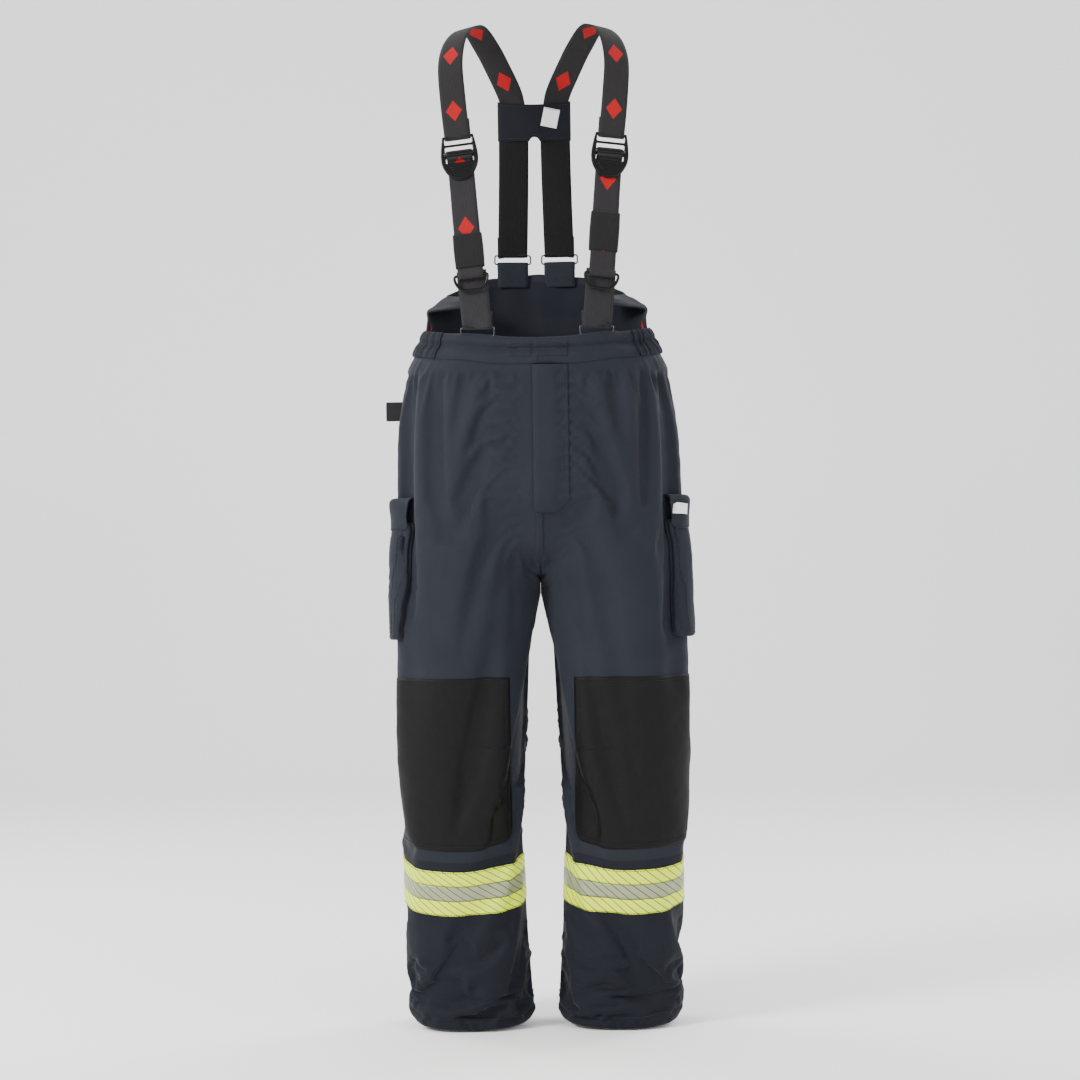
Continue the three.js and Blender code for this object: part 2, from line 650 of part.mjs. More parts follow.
function makeYoke() {
  const group = new THREE.Group();
  group.position.set(0, YOKE.y, (YOKE.low + YOKE.high) / 2);
  group.rotation.x = YOKE_TILT;
  garment.add(group);
  const rise = (YOKE.high - YOKE.low) / 2;
  const { half: reach, depth } = YOKE;
  const outline = new THREE.Shape();
  outline.moveTo(-reach, -rise);
  outline.lineTo(-8, -rise);
  outline.quadraticCurveTo(0, 14 - rise, 8, -rise);
  outline.lineTo(reach, -rise);
  outline.lineTo(reach, rise);
  outline.quadraticCurveTo(0, rise - 9, -reach, rise);
  const sleeve = new THREE.ExtrudeGeometry(outline, { depth, bevelEnabled: false, curveSegments: 6 });
  const cloth = solidOf(sleeve.rotateX(Math.PI / 2).translate(0, depth / 2, 0));
  const room = box(-reach + 1.3, reach - 1.3, -2.9, 2.9, -60, 60);
  piece('yoke', cloth.subtract(room), shellCloth, group);
  const label = piece('yoke_label', new THREE.BoxGeometry(26, 0.7, 30), labelCloth, group);
  label.position.set(26, -depth / 2 - 0.65, 5);
  label.rotation.y = THREE.MathUtils.degToRad(12);
}

// ---- back elastics, their wire rings and the tabs on the raised back

const BACK_RING = vector(38, 122, 1225);
const BACK_TURN = 0.092; // the raised back's turn round the body there
const BACK_RING_HEIGHT = 14;
const ELASTIC_THICK = 2;

function makeBackStraps(side, name) {
  const inward = vector(-side * Math.sin(BACK_TURN), -Math.cos(BACK_TURN), 0);
  const group = strapGroup(onSide(side, BACK_RING), vector(0, 0, 1), inward);
  piece(`back_ring_${name}`, wireLoop(58, BACK_RING_HEIGHT), wireMetal, group);
  const over = fold(local(0, 0, 0), UP, OUT, WIRE_FOLD, 9);
  const tab = [{ at: local(0, -38, WIRE_FOLD), across: over[0].across }, ...over];
  piece(`back_tab_${name}`, ribbon(tab, 50, WEB_THICK), shellCloth, group);
  const radius = WIRE + 0.35 + ELASTIC_THICK / 2;
  const under = carried(fold(local(0, BACK_RING_HEIGHT, 0), DOWN, OUT, radius, 30), group);
  const { across } = under[0];
  const route = new THREE.CatmullRomCurve3([
    mirror(side, [33.5, 99, 1450]), mirror(side, [33.5, 101, 1426]), mirror(side, [34.5, 109, 1360]),
    mirror(side, [36.5, 116, 1280]), under[0].at,
  ]);
  const strap = eased(route, 9, vector(-1, 0, 0), across);
  piece(`back_elastic_${name}`, ribbon([...strap, ...under], ELASTIC, ELASTIC_THICK), elasticCloth);
}

// ---------------------------------------------------------------- assembly

bothSides((side, name) => {
  makeShell(side, name);
  makeKneeCloth(side, name);
  makeLowerLeg(side, name);
  makeUpperLiner(side, name);
  makeWaistband(side, name);
  makeKneePatch(side, name);
  makeTrim(side, name);
  makePocket(side, name);
  const strapLine = makeFrontHardware(side, name);
  makeShoulderStrap(side, name, strapLine);
  makeWaistAttachment(side, name, strapLine);
  makeBackStraps(side, name);
});
makeRaisedBack();
makeWaistTab();
makeFly();
makeSlider();
makePocketLabel();
makeHipTab();
makeYoke();

garment.position.copy(SHOULDER_TOP).negate();
const bunkerPants = new THREE.Group();
bunkerPants.add(garment);

export default bunkerPants;
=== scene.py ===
# %% [markdown]
# # Bunker pants
# A firefighter's trousers hang from H-back suspenders. Navy aramid twill is cut into panels and sewn,
# black coated patches guard the knees, and a band of reflective tape runs round each shin. The packed
# CAD model is the frame: it says where each piece is and what it moves with, and this lesson gives each
# one its cloth.

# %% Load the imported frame
import json
import math

import bpy
import numpy as np
from mathutils import Matrix, Vector, noise
from mathutils.bvhtree import BVHTree


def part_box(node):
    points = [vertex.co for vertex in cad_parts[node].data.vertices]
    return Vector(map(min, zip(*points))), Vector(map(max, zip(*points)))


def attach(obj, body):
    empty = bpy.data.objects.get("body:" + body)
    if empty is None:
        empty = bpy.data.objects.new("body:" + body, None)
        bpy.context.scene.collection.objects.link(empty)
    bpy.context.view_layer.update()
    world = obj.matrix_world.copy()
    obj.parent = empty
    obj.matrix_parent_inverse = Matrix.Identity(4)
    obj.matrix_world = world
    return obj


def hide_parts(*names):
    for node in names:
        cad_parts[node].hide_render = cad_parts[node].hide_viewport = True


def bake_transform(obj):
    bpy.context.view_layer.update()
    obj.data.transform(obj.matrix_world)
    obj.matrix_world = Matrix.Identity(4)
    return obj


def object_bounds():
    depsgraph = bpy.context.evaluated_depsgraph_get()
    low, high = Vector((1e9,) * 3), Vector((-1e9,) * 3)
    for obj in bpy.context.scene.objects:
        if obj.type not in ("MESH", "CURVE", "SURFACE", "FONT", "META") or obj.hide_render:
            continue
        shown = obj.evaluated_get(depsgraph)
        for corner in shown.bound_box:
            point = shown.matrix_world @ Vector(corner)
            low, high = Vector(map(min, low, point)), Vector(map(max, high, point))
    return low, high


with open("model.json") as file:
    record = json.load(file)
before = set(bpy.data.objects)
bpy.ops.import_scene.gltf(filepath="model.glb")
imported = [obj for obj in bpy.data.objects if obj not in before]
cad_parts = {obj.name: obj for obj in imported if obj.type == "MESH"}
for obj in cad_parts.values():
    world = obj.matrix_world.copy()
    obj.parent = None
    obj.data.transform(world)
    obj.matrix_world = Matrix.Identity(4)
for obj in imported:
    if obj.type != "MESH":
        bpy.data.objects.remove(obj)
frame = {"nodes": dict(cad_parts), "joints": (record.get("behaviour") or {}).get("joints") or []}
cad_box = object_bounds()
joints = {joint["name"]: joint for joint in frame["joints"]}
SIDES = {"left": 1, "right": -1}
MM = 0.001
print("CAD box", [list(corner) for corner in cad_box])

# %% [markdown]
# ## Camera, floor and light
# The trousers hang upright as on a hidden stand, seen from straight in front at thigh height, with a
# long lens that keeps the legs parallel. A seamless pale sweep and big soft lamps suit a catalogue view.

# %% Camera
camera = bpy.data.objects.new("camera", bpy.data.cameras.new("camera"))
camera.data.lens = 76.4
camera.data.sensor_width = 36
camera.location = (0, -3.615, -0.809)
camera.rotation_euler = (math.pi / 2, math.radians(0.8), 0)
bpy.context.scene.collection.objects.link(camera)
bpy.context.scene.camera = camera
print("camera at", list(camera.location))


# %% Floor sweep
def link(obj):
    bpy.context.scene.collection.objects.link(obj)
    return obj


def sweep_profile(ground, bend, far, height, steps=12):
    turn = [math.pi / 2 * i / steps for i in range(steps + 1)]
    curve = [(far + bend * math.sin(a), ground + bend * (1 - math.cos(a))) for a in turn]
    return [(-6.0, ground), *curve, (far + bend, height)]


ground = cad_box[0][2] - 0.002
profile = sweep_profile(ground, 1.2, 3.6, 6.0)
sweep_mesh = bpy.data.meshes.new("floor")
sweep_mesh.from_pydata(
    [(x, y, z) for x in (-7, 7) for y, z in profile], [],
    [(i, i + len(profile), i + len(profile) + 1, i + 1) for i in range(len(profile) - 1)],
)
sweep_mesh.polygons.foreach_set("use_smooth", [True] * len(sweep_mesh.polygons))
floor = link(bpy.data.objects.new("floor", sweep_mesh))
print("floor at", round(ground, 3))


# %% Lights
def lamp(name, place, aim, size, power):
    light = bpy.data.lights.new(name, "AREA")
    light.shape = "DISK"
    light.size = size
    light.energy = power
    obj = link(bpy.data.objects.new(name, light))
    obj.location = place
    obj.rotation_euler = (Vector(aim) - Vector(place)).to_track_quat("-Z", "Y").to_euler()


MIDDLE = (0, 0, -0.8)
lamp("key", (-3.0, -2.4, 1.0), MIDDLE, 1.3, 230)
lamp("fill", (2.6, -2.8, 0.2), MIDDLE, 2.2, 50)
lamp("back_left", (-2.4, 1.4, 0.8), MIDDLE, 1.4, 60)
lamp("back_right", (2.4, 1.4, 0.8), MIDDLE, 1.4, 60)
world = bpy.data.worlds.new("studio")
world.use_nodes = True
world.node_tree.nodes["Background"].inputs["Color"].default_value = (1, 1, 1, 1)
world.node_tree.nodes["Background"].inputs["Strength"].default_value = 1.15
bpy.context.scene.world = world

# %% [markdown]
# ## Finishes
# Each finish is a Principled shader. Cloth needs three things: a base colour that drifts a little, as
# dyed yarn does, a bump that repeats at the size of its weave, and some sheen from loose fibre. The weave
# is laid out in the UV map, whose unit is the metre, so that it follows each panel round a leg.


# %% Shader helpers
def linear(red, green, blue):
    def channel(value):
        value /= 255
        return value / 12.92 if value <= 0.04045 else ((value + 0.055) / 1.055) ** 2.4

    return tuple(channel(value) for value in (red, green, blue))


def finish(name, colour, roughness, **sockets):
    material = bpy.data.materials.new(name)
    material.use_nodes = True
    shader = material.node_tree.nodes["Principled BSDF"]
    shader.inputs["Base Color"].default_value = (*colour, 1)
    shader.inputs["Roughness"].default_value = roughness
    for socket, value in sockets.items():
        shader.inputs[socket.replace("_", " ")].default_value = value
    return material


def node(material, kind, settings=None, **inputs):
    made = material.node_tree.nodes.new(kind)
    for name, value in (settings or {}).items():
        setattr(made, name, value)
    for name, value in inputs.items():
        socket = made.inputs[name.replace("_", " ")]
        if isinstance(value, bpy.types.NodeSocket):
            material.node_tree.links.new(value, socket)
        else:
            socket.default_value = value
    return made


def shader_input(material, name, output):
    shader = material.node_tree.nodes["Principled BSDF"]
    material.node_tree.links.new(output, shader.inputs[name])


def place_on(material, by):
    return node(material, "ShaderNodeTexCoord").outputs[by]


def two_tones(material, factor, dark, light, low=0.35, high=0.65):
    ramp = node(material, "ShaderNodeValToRGB", Fac=factor)
    for stop, at, colour in zip(ramp.color_ramp.elements, (low, high), (dark, light)):
        stop.position = at
        stop.color = (*colour, 1)
    return ramp.outputs["Color"]


def shade(colour, amount):
    return tuple(value * amount for value in colour)


def mottled(material, colour, by="UV", scale=14.0, spread=0.06):
    cloud = node(material, "ShaderNodeTexNoise", Vector=place_on(material, by), Scale=scale, Detail=5.0)
    tones = two_tones(material, cloud.outputs["Fac"], shade(colour, 1 - spread), shade(colour, 1 + spread))
    shader_input(material, "Base Color", tones)
    return tones


def bumped(material, height, strength, distance):
    bump = node(material, "ShaderNodeBump", Height=height, Strength=strength, Distance=distance)
    shader_input(material, "Normal", bump.outputs["Normal"])


def rib(material, by, pitch, turn=0.0, shape="SIN"):
    """Parallel ribs, pitch metres apart, turned by an angle from straight along V."""
    turned = node(material, "ShaderNodeMapping", Vector=place_on(material, by), Rotation=(0, 0, turn))
    wave = node(
        material, "ShaderNodeTexWave", {"wave_profile": shape},
        Vector=turned.outputs["Vector"], Scale=math.pi / 10 / pitch,
    )
    return wave.outputs["Fac"]


def added(material, first, second, operation="ADD"):
    made = node(material, "ShaderNodeMath", {"operation": operation})
    for socket, value in zip(made.inputs, (first, second)):
        if isinstance(value, bpy.types.NodeSocket):
            material.node_tree.links.new(value, socket)
        else:
            socket.default_value = value
    return made.outputs[0]


# %% Twill, patch and lining
def twill(name, colour, by="UV"):
    material = finish(name, colour, 0.8, Sheen_Weight=0.05, Sheen_Roughness=0.4, Specular_IOR_Level=0.14)
    mottled(material, colour, by)
    grain = node(material, "ShaderNodeTexNoise", Vector=place_on(material, by), Scale=900.0, Detail=2.0)
    height = added(material, rib(material, by, 0.0011, math.radians(58)), grain.outputs["Fac"])
    bumped(material, height, 0.35, 0.0004)
    return material


NAVY = linear(29, 32, 39)
shell_twill = twill("shell_twill", NAVY)
plain_twill = twill("plain_twill", NAVY, by="Object")
shin_twill = twill("shin_twill", linear(21, 23, 30))
dark_twill = twill("dark_twill", linear(22, 24, 31))
yoke_twill = twill("yoke_twill", linear(18, 20, 26))

patch_coat = finish("patch_coat", linear(10, 10, 11), 0.62, Specular_IOR_Level=0.14)
mottled(patch_coat, linear(10, 10, 11), scale=30.0, spread=0.08)
pebble = node(patch_coat, "ShaderNodeTexVoronoi", Vector=place_on(patch_coat, "UV"), Scale=620.0)
bumped(patch_coat, pebble.outputs["Distance"], 0.4, 0.0003)

lining = finish("lining", linear(20, 22, 28), 0.85, Sheen_Weight=0.05, Specular_IOR_Level=0.15)
mottled(lining, linear(20, 22, 28), scale=18.0)
quilt = added(
    lining, rib(lining, "UV", 0.05, math.radians(45), "TRI"),
    rib(lining, "UV", 0.05, math.radians(-45), "TRI"), "MINIMUM",
)
bumped(lining, quilt, 0.6, 0.003)
print("twills", [m.name for m in bpy.data.materials])


# %% Reflective tape
HATCH_PITCH = 0.0102
HATCH_TURN = math.radians(-52)


def hatched(name, colour, ink, roughness, **sockets):
    material = finish(name, colour, roughness, **sockets)
    lines = rib(material, "UV", HATCH_PITCH, HATCH_TURN, "SAW")
    tones = two_tones(material, lines, ink, colour, 0.1, 0.14)
    shader_input(material, "Base Color", tones)
    cells = node(material, "ShaderNodeTexVoronoi", Vector=place_on(material, "UV"), Scale=900.0)
    bumped(material, cells.outputs["Distance"], 0.25, 0.0002)
    return material


INK = linear(34, 36, 20)
# The yellow tape is given a faint glow of its own: painted light, standing in for the bright shine that
# reflective tape sends back to the lamps.
yellow_tape = hatched("yellow_tape", linear(206, 226, 2), INK, 0.55, Emission_Strength=0.05)
yellow_tape.node_tree.nodes["Principled BSDF"].inputs["Emission Color"].default_value = (0.75, 1, 0.02, 1)
silver_tape = hatched("silver_tape", linear(140, 146, 112), INK, 0.42, Metallic=0.25)
print("tapes", yellow_tape.name, silver_tape.name)

# %% Webbing and elastic
RED = linear(150, 4, 10)


def webbing_with_diamonds(name, colour, pitch, start):
    """Woven tape with a red diamond every pitch metres. U runs across the strap and V along it."""
    material = finish(name, colour, 0.72, Sheen_Weight=0.04, Specular_IOR_Level=0.2)
    ground_tone = mottled(material, colour, scale=60.0)
    split = node(material, "ShaderNodeSeparateXYZ", Vector=place_on(material, "UV"))
    across = added(material, split.outputs["X"], 0.0, "ABSOLUTE")
    shifted = added(material, split.outputs["Y"], start, "ADD")
    along = added(material, shifted, pitch / 2, "PINGPONG")
    slope = added(material, along, 0.7, "MULTIPLY")
    inside = added(material, added(material, across, slope, "ADD"), 0.0125, "LESS_THAN")
    mix = node(material, "ShaderNodeMix", {"data_type": "RGBA"})
    material.node_tree.links.new(inside, mix.inputs[0])
    material.node_tree.links.new(ground_tone, mix.inputs[6])
    mix.inputs[7].default_value = (*RED, 1)
    shader_input(material, "Base Color", mix.outputs[2])
    weave = added(material, rib(material, "UV", 0.0013, math.radians(90)), rib(material, "UV", 0.0022))
    bumped(material, weave, 0.5, 0.0005)
    return material


def ribbed(name, colour, pitch):
    material = finish(name, colour, 0.8, Sheen_Weight=0.04, Specular_IOR_Level=0.15)
    mottled(material, colour, scale=80.0)
    height = added(material, rib(material, "UV", pitch), rib(material, "UV", 0.0012, math.radians(90)))
    bumped(material, height, 0.6, 0.0006)
    return material


strap_weave = webbing_with_diamonds("strap_weave", linear(26, 24, 25), 0.098, 0.012)
lower_weave = webbing_with_diamonds("lower_weave", linear(30, 28, 30), 0.098, 0.086)
tab_weave = ribbed("tab_weave", linear(36, 35, 37), 0.0024)
elastic_weave = ribbed("elastic_weave", linear(15, 15, 16), 0.0031)
keeper_weave = ribbed("keeper_weave", linear(24, 24, 25), 0.0026)
red_tape = ribbed("red_tape", linear(175, 18, 26), 0.002)

# %% Hard pieces, thread and labels
moulding = finish("moulding", linear(7, 7, 8), 0.24, Specular_IOR_Level=0.2)
mottled(moulding, linear(7, 7, 8), "Object", 120.0)
orange_peel = node(moulding, "ShaderNodeTexNoise", Vector=place_on(moulding, "Object"), Scale=700.0)
bumped(moulding, orange_peel.outputs["Fac"], 0.12, 0.0004)

steel = finish("steel", linear(205, 206, 208), 0.24, Metallic=1.0)
mottled(steel, linear(205, 206, 208), "Object", 200.0, 0.06)
drawn = node(steel, "ShaderNodeTexNoise", Vector=place_on(steel, "Object"), Scale=1500.0)
bumped(steel, drawn.outputs["Fac"], 0.08, 0.0002)

coated_wire = finish("coated_wire", linear(48, 49, 52), 0.35, Metallic=0.7)
mottled(coated_wire, linear(48, 49, 52), "Object", 200.0, 0.06)
thread = finish("thread", linear(30, 33, 40), 0.6, Specular_IOR_Level=0.25)
mottled(thread, linear(30, 33, 40), "Object", 400.0)
dark_thread = finish("dark_thread", linear(16, 16, 17), 0.6, Specular_IOR_Level=0.25)
mottled(dark_thread, linear(16, 16, 17), "Object", 400.0)
satin = finish("satin", linear(226, 227, 226), 0.6, Sheen_Weight=0.3)
mottled(satin, linear(226, 227, 226), "UV", 90.0, 0.05)
bumped(satin, rib(satin, "UV", 0.0008), 0.3, 0.0002)
paper_floor = finish("paper_floor", (0.96, 0.96, 0.96), 0.9, Specular_IOR_Level=0.1)
floor.data.materials.append(paper_floor)
print("finishes", len(bpy.data.materials))

# %% [markdown]
# ## From a grid of points to cloth
# Every cloth piece starts as a grid of points on its face. A second grid a little behind it and a rim
# between the two make a closed piece with a true thickness, and no sharp card edges. The distances along
# the grid become its UV map.


# %% Grid helpers
def face_normals(points):
    across = np.gradient(points, axis=1)
    down = np.gradient(points, axis=0)
    normals = np.cross(across, down)
    return normals / np.maximum(np.linalg.norm(normals, axis=2, keepdims=True), 1e-12)


def outward(points, inside):
    normals = face_normals(points)
    if ((points - np.array(inside)) * normals).sum() < 0:
        normals = -normals
    return normals


def running_length(points, axis):
    steps = np.linalg.norm(np.diff(points, axis=axis), axis=2)
    return np.insert(np.cumsum(steps, axis=axis), 0, 0, axis=axis)


def cloth_uv(points):
    u = running_length(points, 1)
    v = running_length(points, 0)
    u = u - u[:, -1:] / 2
    return np.stack([u, np.broadcast_to(v[:, v.shape[1] // 2, None], u.shape)], axis=2)


def mesh_object(name, vertices, faces, uv, material):
    mesh = bpy.data.meshes.new(name)
    mesh.from_pydata(np.asarray(vertices).tolist(), [], [list(map(int, f)) for f in faces])
    layer = mesh.uv_layers.new(name="weave")
    corners = np.array([index for face in faces for index in face])
    layer.data.foreach_set("uv", np.asarray(uv, dtype=np.float32)[corners].ravel())
    mesh.polygons.foreach_set("use_smooth", [True] * len(mesh.polygons))
    mesh.materials.append(material)
    mesh.validate()
    return link(bpy.data.objects.new(name, mesh))


def quads(index):
    a, b, c, d = index[:-1, :-1], index[:-1, 1:], index[1:, 1:], index[1:, :-1]
    return np.stack([a, b, c, d], axis=-1).reshape(-1, 4)


def cloth_piece(name, points, inside, thickness, material, uv=None):
    """A closed piece of cloth whose outer face is the grid, with its back away from the outside."""
    normals = outward(points, inside)
    back = points - normals * thickness
    rows, cols = points.shape[:2]
    front_index = np.arange(rows * cols).reshape(rows, cols)
    back_index = front_index + rows * cols
    border = np.concatenate([
        front_index[0, :-1], front_index[:-1, -1], front_index[-1, :0:-1], front_index[:0:-1, 0],
    ])
    after = np.roll(border, -1)
    rim = np.stack([border, border + rows * cols, after + rows * cols, after], axis=1)
    flip = (face_normals(points) * normals).sum() > 0
    face, behind = quads(front_index), quads(back_index)
    faces = [face, behind[:, ::-1], rim] if flip else [face[:, ::-1], behind, rim[:, ::-1]]
    both = np.concatenate([points.reshape(-1, 3), back.reshape(-1, 3)])
    uv = cloth_uv(points) if uv is None else uv
    both_uv = np.tile(uv.reshape(-1, 2), (2, 1))
    return mesh_object(name, both, np.concatenate(faces), both_uv, material)


def tree_of(*objects):
    vertices, faces = [], []
    for obj in objects:
        start = len(vertices)
        vertices += [v.co.copy() for v in obj.data.vertices]
        faces += [[start + i for i in p.vertices] for p in obj.data.polygons]
    return BVHTree.FromPolygons(vertices, faces)


def smoothed(points, passes, axis):
    points = points.copy()
    for _ in range(passes):
        inner = [slice(None)] * points.ndim
        before, after = list(inner), list(inner)
        inner[axis], before[axis], after[axis] = slice(1, -1), slice(0, -2), slice(2, None)
        middle = points[tuple(inner)]
        points[tuple(inner)] = middle / 2 + (points[tuple(before)] + points[tuple(after)]) / 4
    return points


def finer(points, axis, times):
    """Extra rows or columns on a smooth curve through those that are there."""
    points = np.moveaxis(points, axis, 0)
    count = len(points)
    at = np.linspace(0, count - 1, (count - 1) * times + 1)
    i = np.clip(at.astype(int), 0, count - 2)
    t = (at - i).reshape(-1, *[1] * (points.ndim - 1))
    p0, p1 = points[np.maximum(i - 1, 0)], points[i]
    p2, p3 = points[i + 1], points[np.minimum(i + 2, count - 1)]
    curve = 2 * p1 + (p2 - p0) * t + (2 * p0 - 5 * p1 + 4 * p2 - p3) * t ** 2
    curve += (3 * p1 - p0 - 3 * p2 + p3) * t ** 3
    return np.moveaxis(curve / 2, 0, axis)


print("grid helpers ready")

# %% [markdown]
# ## The trouser legs
# A trouser half is one flat cut of cloth wrapped round: its edges meet along the inseam below the crotch,
# and run up the front and the seat seam above it. The grid here is laid out in that way. Each row comes
# from rays cast inwards to the frame's panels, so that it has the frame's size at every height. The shins
# lean back, so their rows lean with them and the last row is the hem.

# %% Where the rows are
WAIST_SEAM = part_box("raised_back")[0].z
# (y, z) of the waistband's top edge as it rises from the front to the sides.
BAND_EDGE = [(-0.215, -0.502), (-0.131, -0.5), (-0.118, -0.492), (-0.075, -0.484), (-0.01, -0.477)]
BAND_HEIGHT = 0.041
TOP_ROW = BAND_EDGE[0][1] - 0.0015
RISE_FADE = 0.07
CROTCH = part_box("knee_cloth_left")[1].z + 0.224
KNEE = Vector(joints["knee_left"]["pos_m"])
SHIN_LEAN = math.radians(13)
LEAN_DONE = 0.14
SHIN_LENGTH = 0.422
STEP = 0.008
COLUMNS = 80
AXIS = [(TOP_ROW, 0.092), (CROTCH + 0.1, 0.1), (CROTCH, 0.113), (KNEE.z, 0.128), (-1.6, 0.112)]


def band_top(y):
    return float(np.interp(y, [p[0] for p in BAND_EDGE], [p[1] for p in BAND_EDGE]))


def rise(y, z):
    """How far a row near the waist climbs as it runs round from the front to the side."""
    return (band_top(y) - BAND_EDGE[0][1]) * max(0.0, 1 - (TOP_ROW - z) / RISE_FADE)


def leg_axis_x(z):
    heights = [h for h, _ in AXIS][::-1]
    return float(np.interp(z, heights, [x for _, x in AXIS][::-1]))


def row_planes():
    """(centre, in-plane back direction) of each row, from the waist seam to the hem."""
    upper = np.arange(TOP_ROW, KNEE.z + STEP / 2, -STEP)
    rows = [(Vector((leg_axis_x(z), 0, z)), Vector((0, 1, 0))) for z in upper]
    down = Vector((0, math.sin(SHIN_LEAN), -math.cos(SHIN_LEAN)))
    for d in np.arange(STEP, SHIN_LENGTH - STEP / 4, STEP):
        turn = SHIN_LEAN * min(1, d / LEAN_DONE)
        at = KNEE + down * d
        at.x = leg_axis_x(at.z)
        rows.append((at, Vector((0, math.cos(turn), math.sin(turn)))))
    last = KNEE + down * (SHIN_LENGTH - 0.0008)
    last.x = leg_axis_x(last.z)
    rows.append((last, Vector((0, math.cos(SHIN_LEAN), math.sin(SHIN_LEAN)))))
    return rows, len(upper)


ROWS, KNEE_ROW = row_planes()
print("rows", len(ROWS), "of which above the knee", KNEE_ROW)


# %% Rays to the frame's panels
def nodes_of(*names):
    return [frame["nodes"][name] for name in names]


TRUNK_NODES = [f"{p}_{s}" for p in ("front_panel", "back_panel", "waistband", "side_elastic") for s in SIDES]
trunk_tree = tree_of(*nodes_of(*TRUNK_NODES, "raised_back", "zip_tape"))
LEG_PANELS = ("front_panel", "back_panel", "knee_cloth", "lower_leg")
leg_trees = {side: tree_of(*nodes_of(*[f"{p}_{side}" for p in LEG_PANELS])) for side in SIDES}
REACH = 0.6
SEAM_X = 0.0001


def seam_point(tree, sign, z, toward):
    """Where the middle seam's cloth is at height z, on the front (toward 1) or the back (toward -1)."""
    hit = tree.ray_cast(Vector((sign * 0.0015, -toward, z)), Vector((0, toward, 0)), 1.0 - 0.004)[0]
    return None if hit is None else hit.y


def ring(tree, centre, back, sign, start, end, count=240):
    points = []
    for turn in np.linspace(start, end, count):
        way = Vector((sign, 0, 0)) * math.cos(turn) + back * math.sin(turn)
        at = centre + way * REACH
        hit = tree.ray_cast(at, -way, REACH)[0]
        if hit is not None and centre.z > TOP_ROW - RISE_FADE:
            at.z += rise(hit.y, centre.z)
            hit = tree.ray_cast(at, -way, REACH)[0]
        if hit is not None:
            points.append(hit)
    return np.array(points)


def spread(points, count):
    lengths = np.insert(np.cumsum(np.linalg.norm(np.diff(points, axis=0), axis=1)), 0, 0)
    at = np.linspace(0, lengths[-1], count)
    return np.stack([np.interp(at, lengths, points[:, k]) for k in range(3)], axis=1)


def half_of_trousers(side):
    sign, grid = SIDES[side], []
    for centre, back in ROWS:
        centre = Vector((sign * centre.x, centre.y, centre.z))
        tree = trunk_tree if centre.z > CROTCH + 0.116 else leg_trees[side]
        front = seam_point(tree, sign, centre.z, 1) if centre.z > CROTCH + 0.004 else None
        rear = seam_point(tree, sign, centre.z, -1) if centre.z > CROTCH + 0.004 else None
        if front is None or rear is None or front > 0 or rear < 0:
            start, end = -math.pi, math.pi
        else:
            start = math.atan2(front, -abs(centre.x))
            end = math.atan2(rear, -abs(centre.x))
        row = spread(ring(tree, centre, back, sign, start, end), COLUMNS + 1)
        row[:, 0] = sign * np.maximum(sign * row[:, 0], SEAM_X)
        grid.append(row)
    return np.array(grid)


def eased_form(grid):
    """Rounds off the frame's flats, then gives back what the rounding took."""
    soft = smoothed(smoothed(grid, 14, 1), 5, 0)
    middle = grid.mean(axis=1, keepdims=True)
    size = np.linalg.norm(grid - middle, axis=2).mean(axis=1)
    new = np.linalg.norm(soft - soft.mean(axis=1, keepdims=True), axis=2).mean(axis=1)
    scale = (size / new)[:, None, None]
    return soft.mean(axis=1, keepdims=True) + (soft - soft.mean(axis=1, keepdims=True)) * scale


SHIN_EASE = 0.0045


def with_shin_ease(grid, sign):
    """The shins' cloth stands a few millimetres off the frame on the outside."""
    below = np.clip((KNEE.z - grid[..., 2]) / 0.12, 0, 1)
    outer = np.clip((sign * grid[..., 0] - 0.04) / 0.16, 0, 1)
    grid[..., 0] += sign * SHIN_EASE * below * (0.5 + 1.3 * outer)
    return grid


flat_halves = {side: half_of_trousers(side) for side in SIDES}
seam_rows = {
    side: [abs(row[0, 0]) < 0.003 and abs(row[0, 1] - row[-1, 1]) > 0.01 for row in grid]
    for side, grid in flat_halves.items()
}
for side, grid in flat_halves.items():
    soft = with_shin_ease(eased_form(grid), SIDES[side])
    for r, on_seam in enumerate(seam_rows[side]):
        if on_seam:
            soft[r, 0, 0] = soft[r, -1, 0] = SIDES[side] * SEAM_X
        else:
            soft[r, 0] = soft[r, -1] = (soft[r, 0] + soft[r, -1]) / 2
    soft[:, :, 0] = SIDES[side] * np.maximum(SIDES[side] * soft[:, :, 0], SEAM_X)
    flat_halves[side] = soft
    print(side, "half", soft.shape, "rows on the middle seam", sum(seam_rows[side]))

# %% [markdown]
# ## Letting the cloth settle
# Stiff aramid does not drape like silk: it buckles in broad, shallow folds where the cut is a little
# longer than the room that it has. Blender's cloth solver makes these. The cloth is told to be three
# percent bigger than the grid, its seams, waist and hem are pinned, and gravity pulls for a second. The slow
# drift of the whole cloth is taken out and the rest is made deeper, because one second is too short for
# full folds. How far a point may wander is capped, so the legs keep their width.

# %% Cloth settings
GROWTH = 0.03
WANDER = 0.0075
SETTLE_FRAMES = 24
STIFF_MIDDLE, STIFF_REACH = 0.195, 0.07  # down the shin, where the tape keeps the cloth flat
FOLD_GAIN = 1.8  # how much deeper the solver's folds are made


def hold(grid):
    """How firmly each point is pinned, from 0 to 1."""
    firm = np.zeros(grid.shape[:2])
    firm[:7] = 1
    firm[-1] = 1
    firm[-3:-1] = 0.5
    seam_reach = np.minimum(np.arange(grid.shape[1]), np.arange(grid.shape[1])[::-1])
    near_seam = np.clip(1.4 - seam_reach / 10, 0, 1)[None, :]
    above_crotch = np.clip((grid[..., 2].mean(axis=1) - CROTCH) / 0.04, 0, 1)[:, None]
    firm = np.maximum(firm, near_seam * above_crotch)
    firm[:, [0, -1]] = 1
    return firm


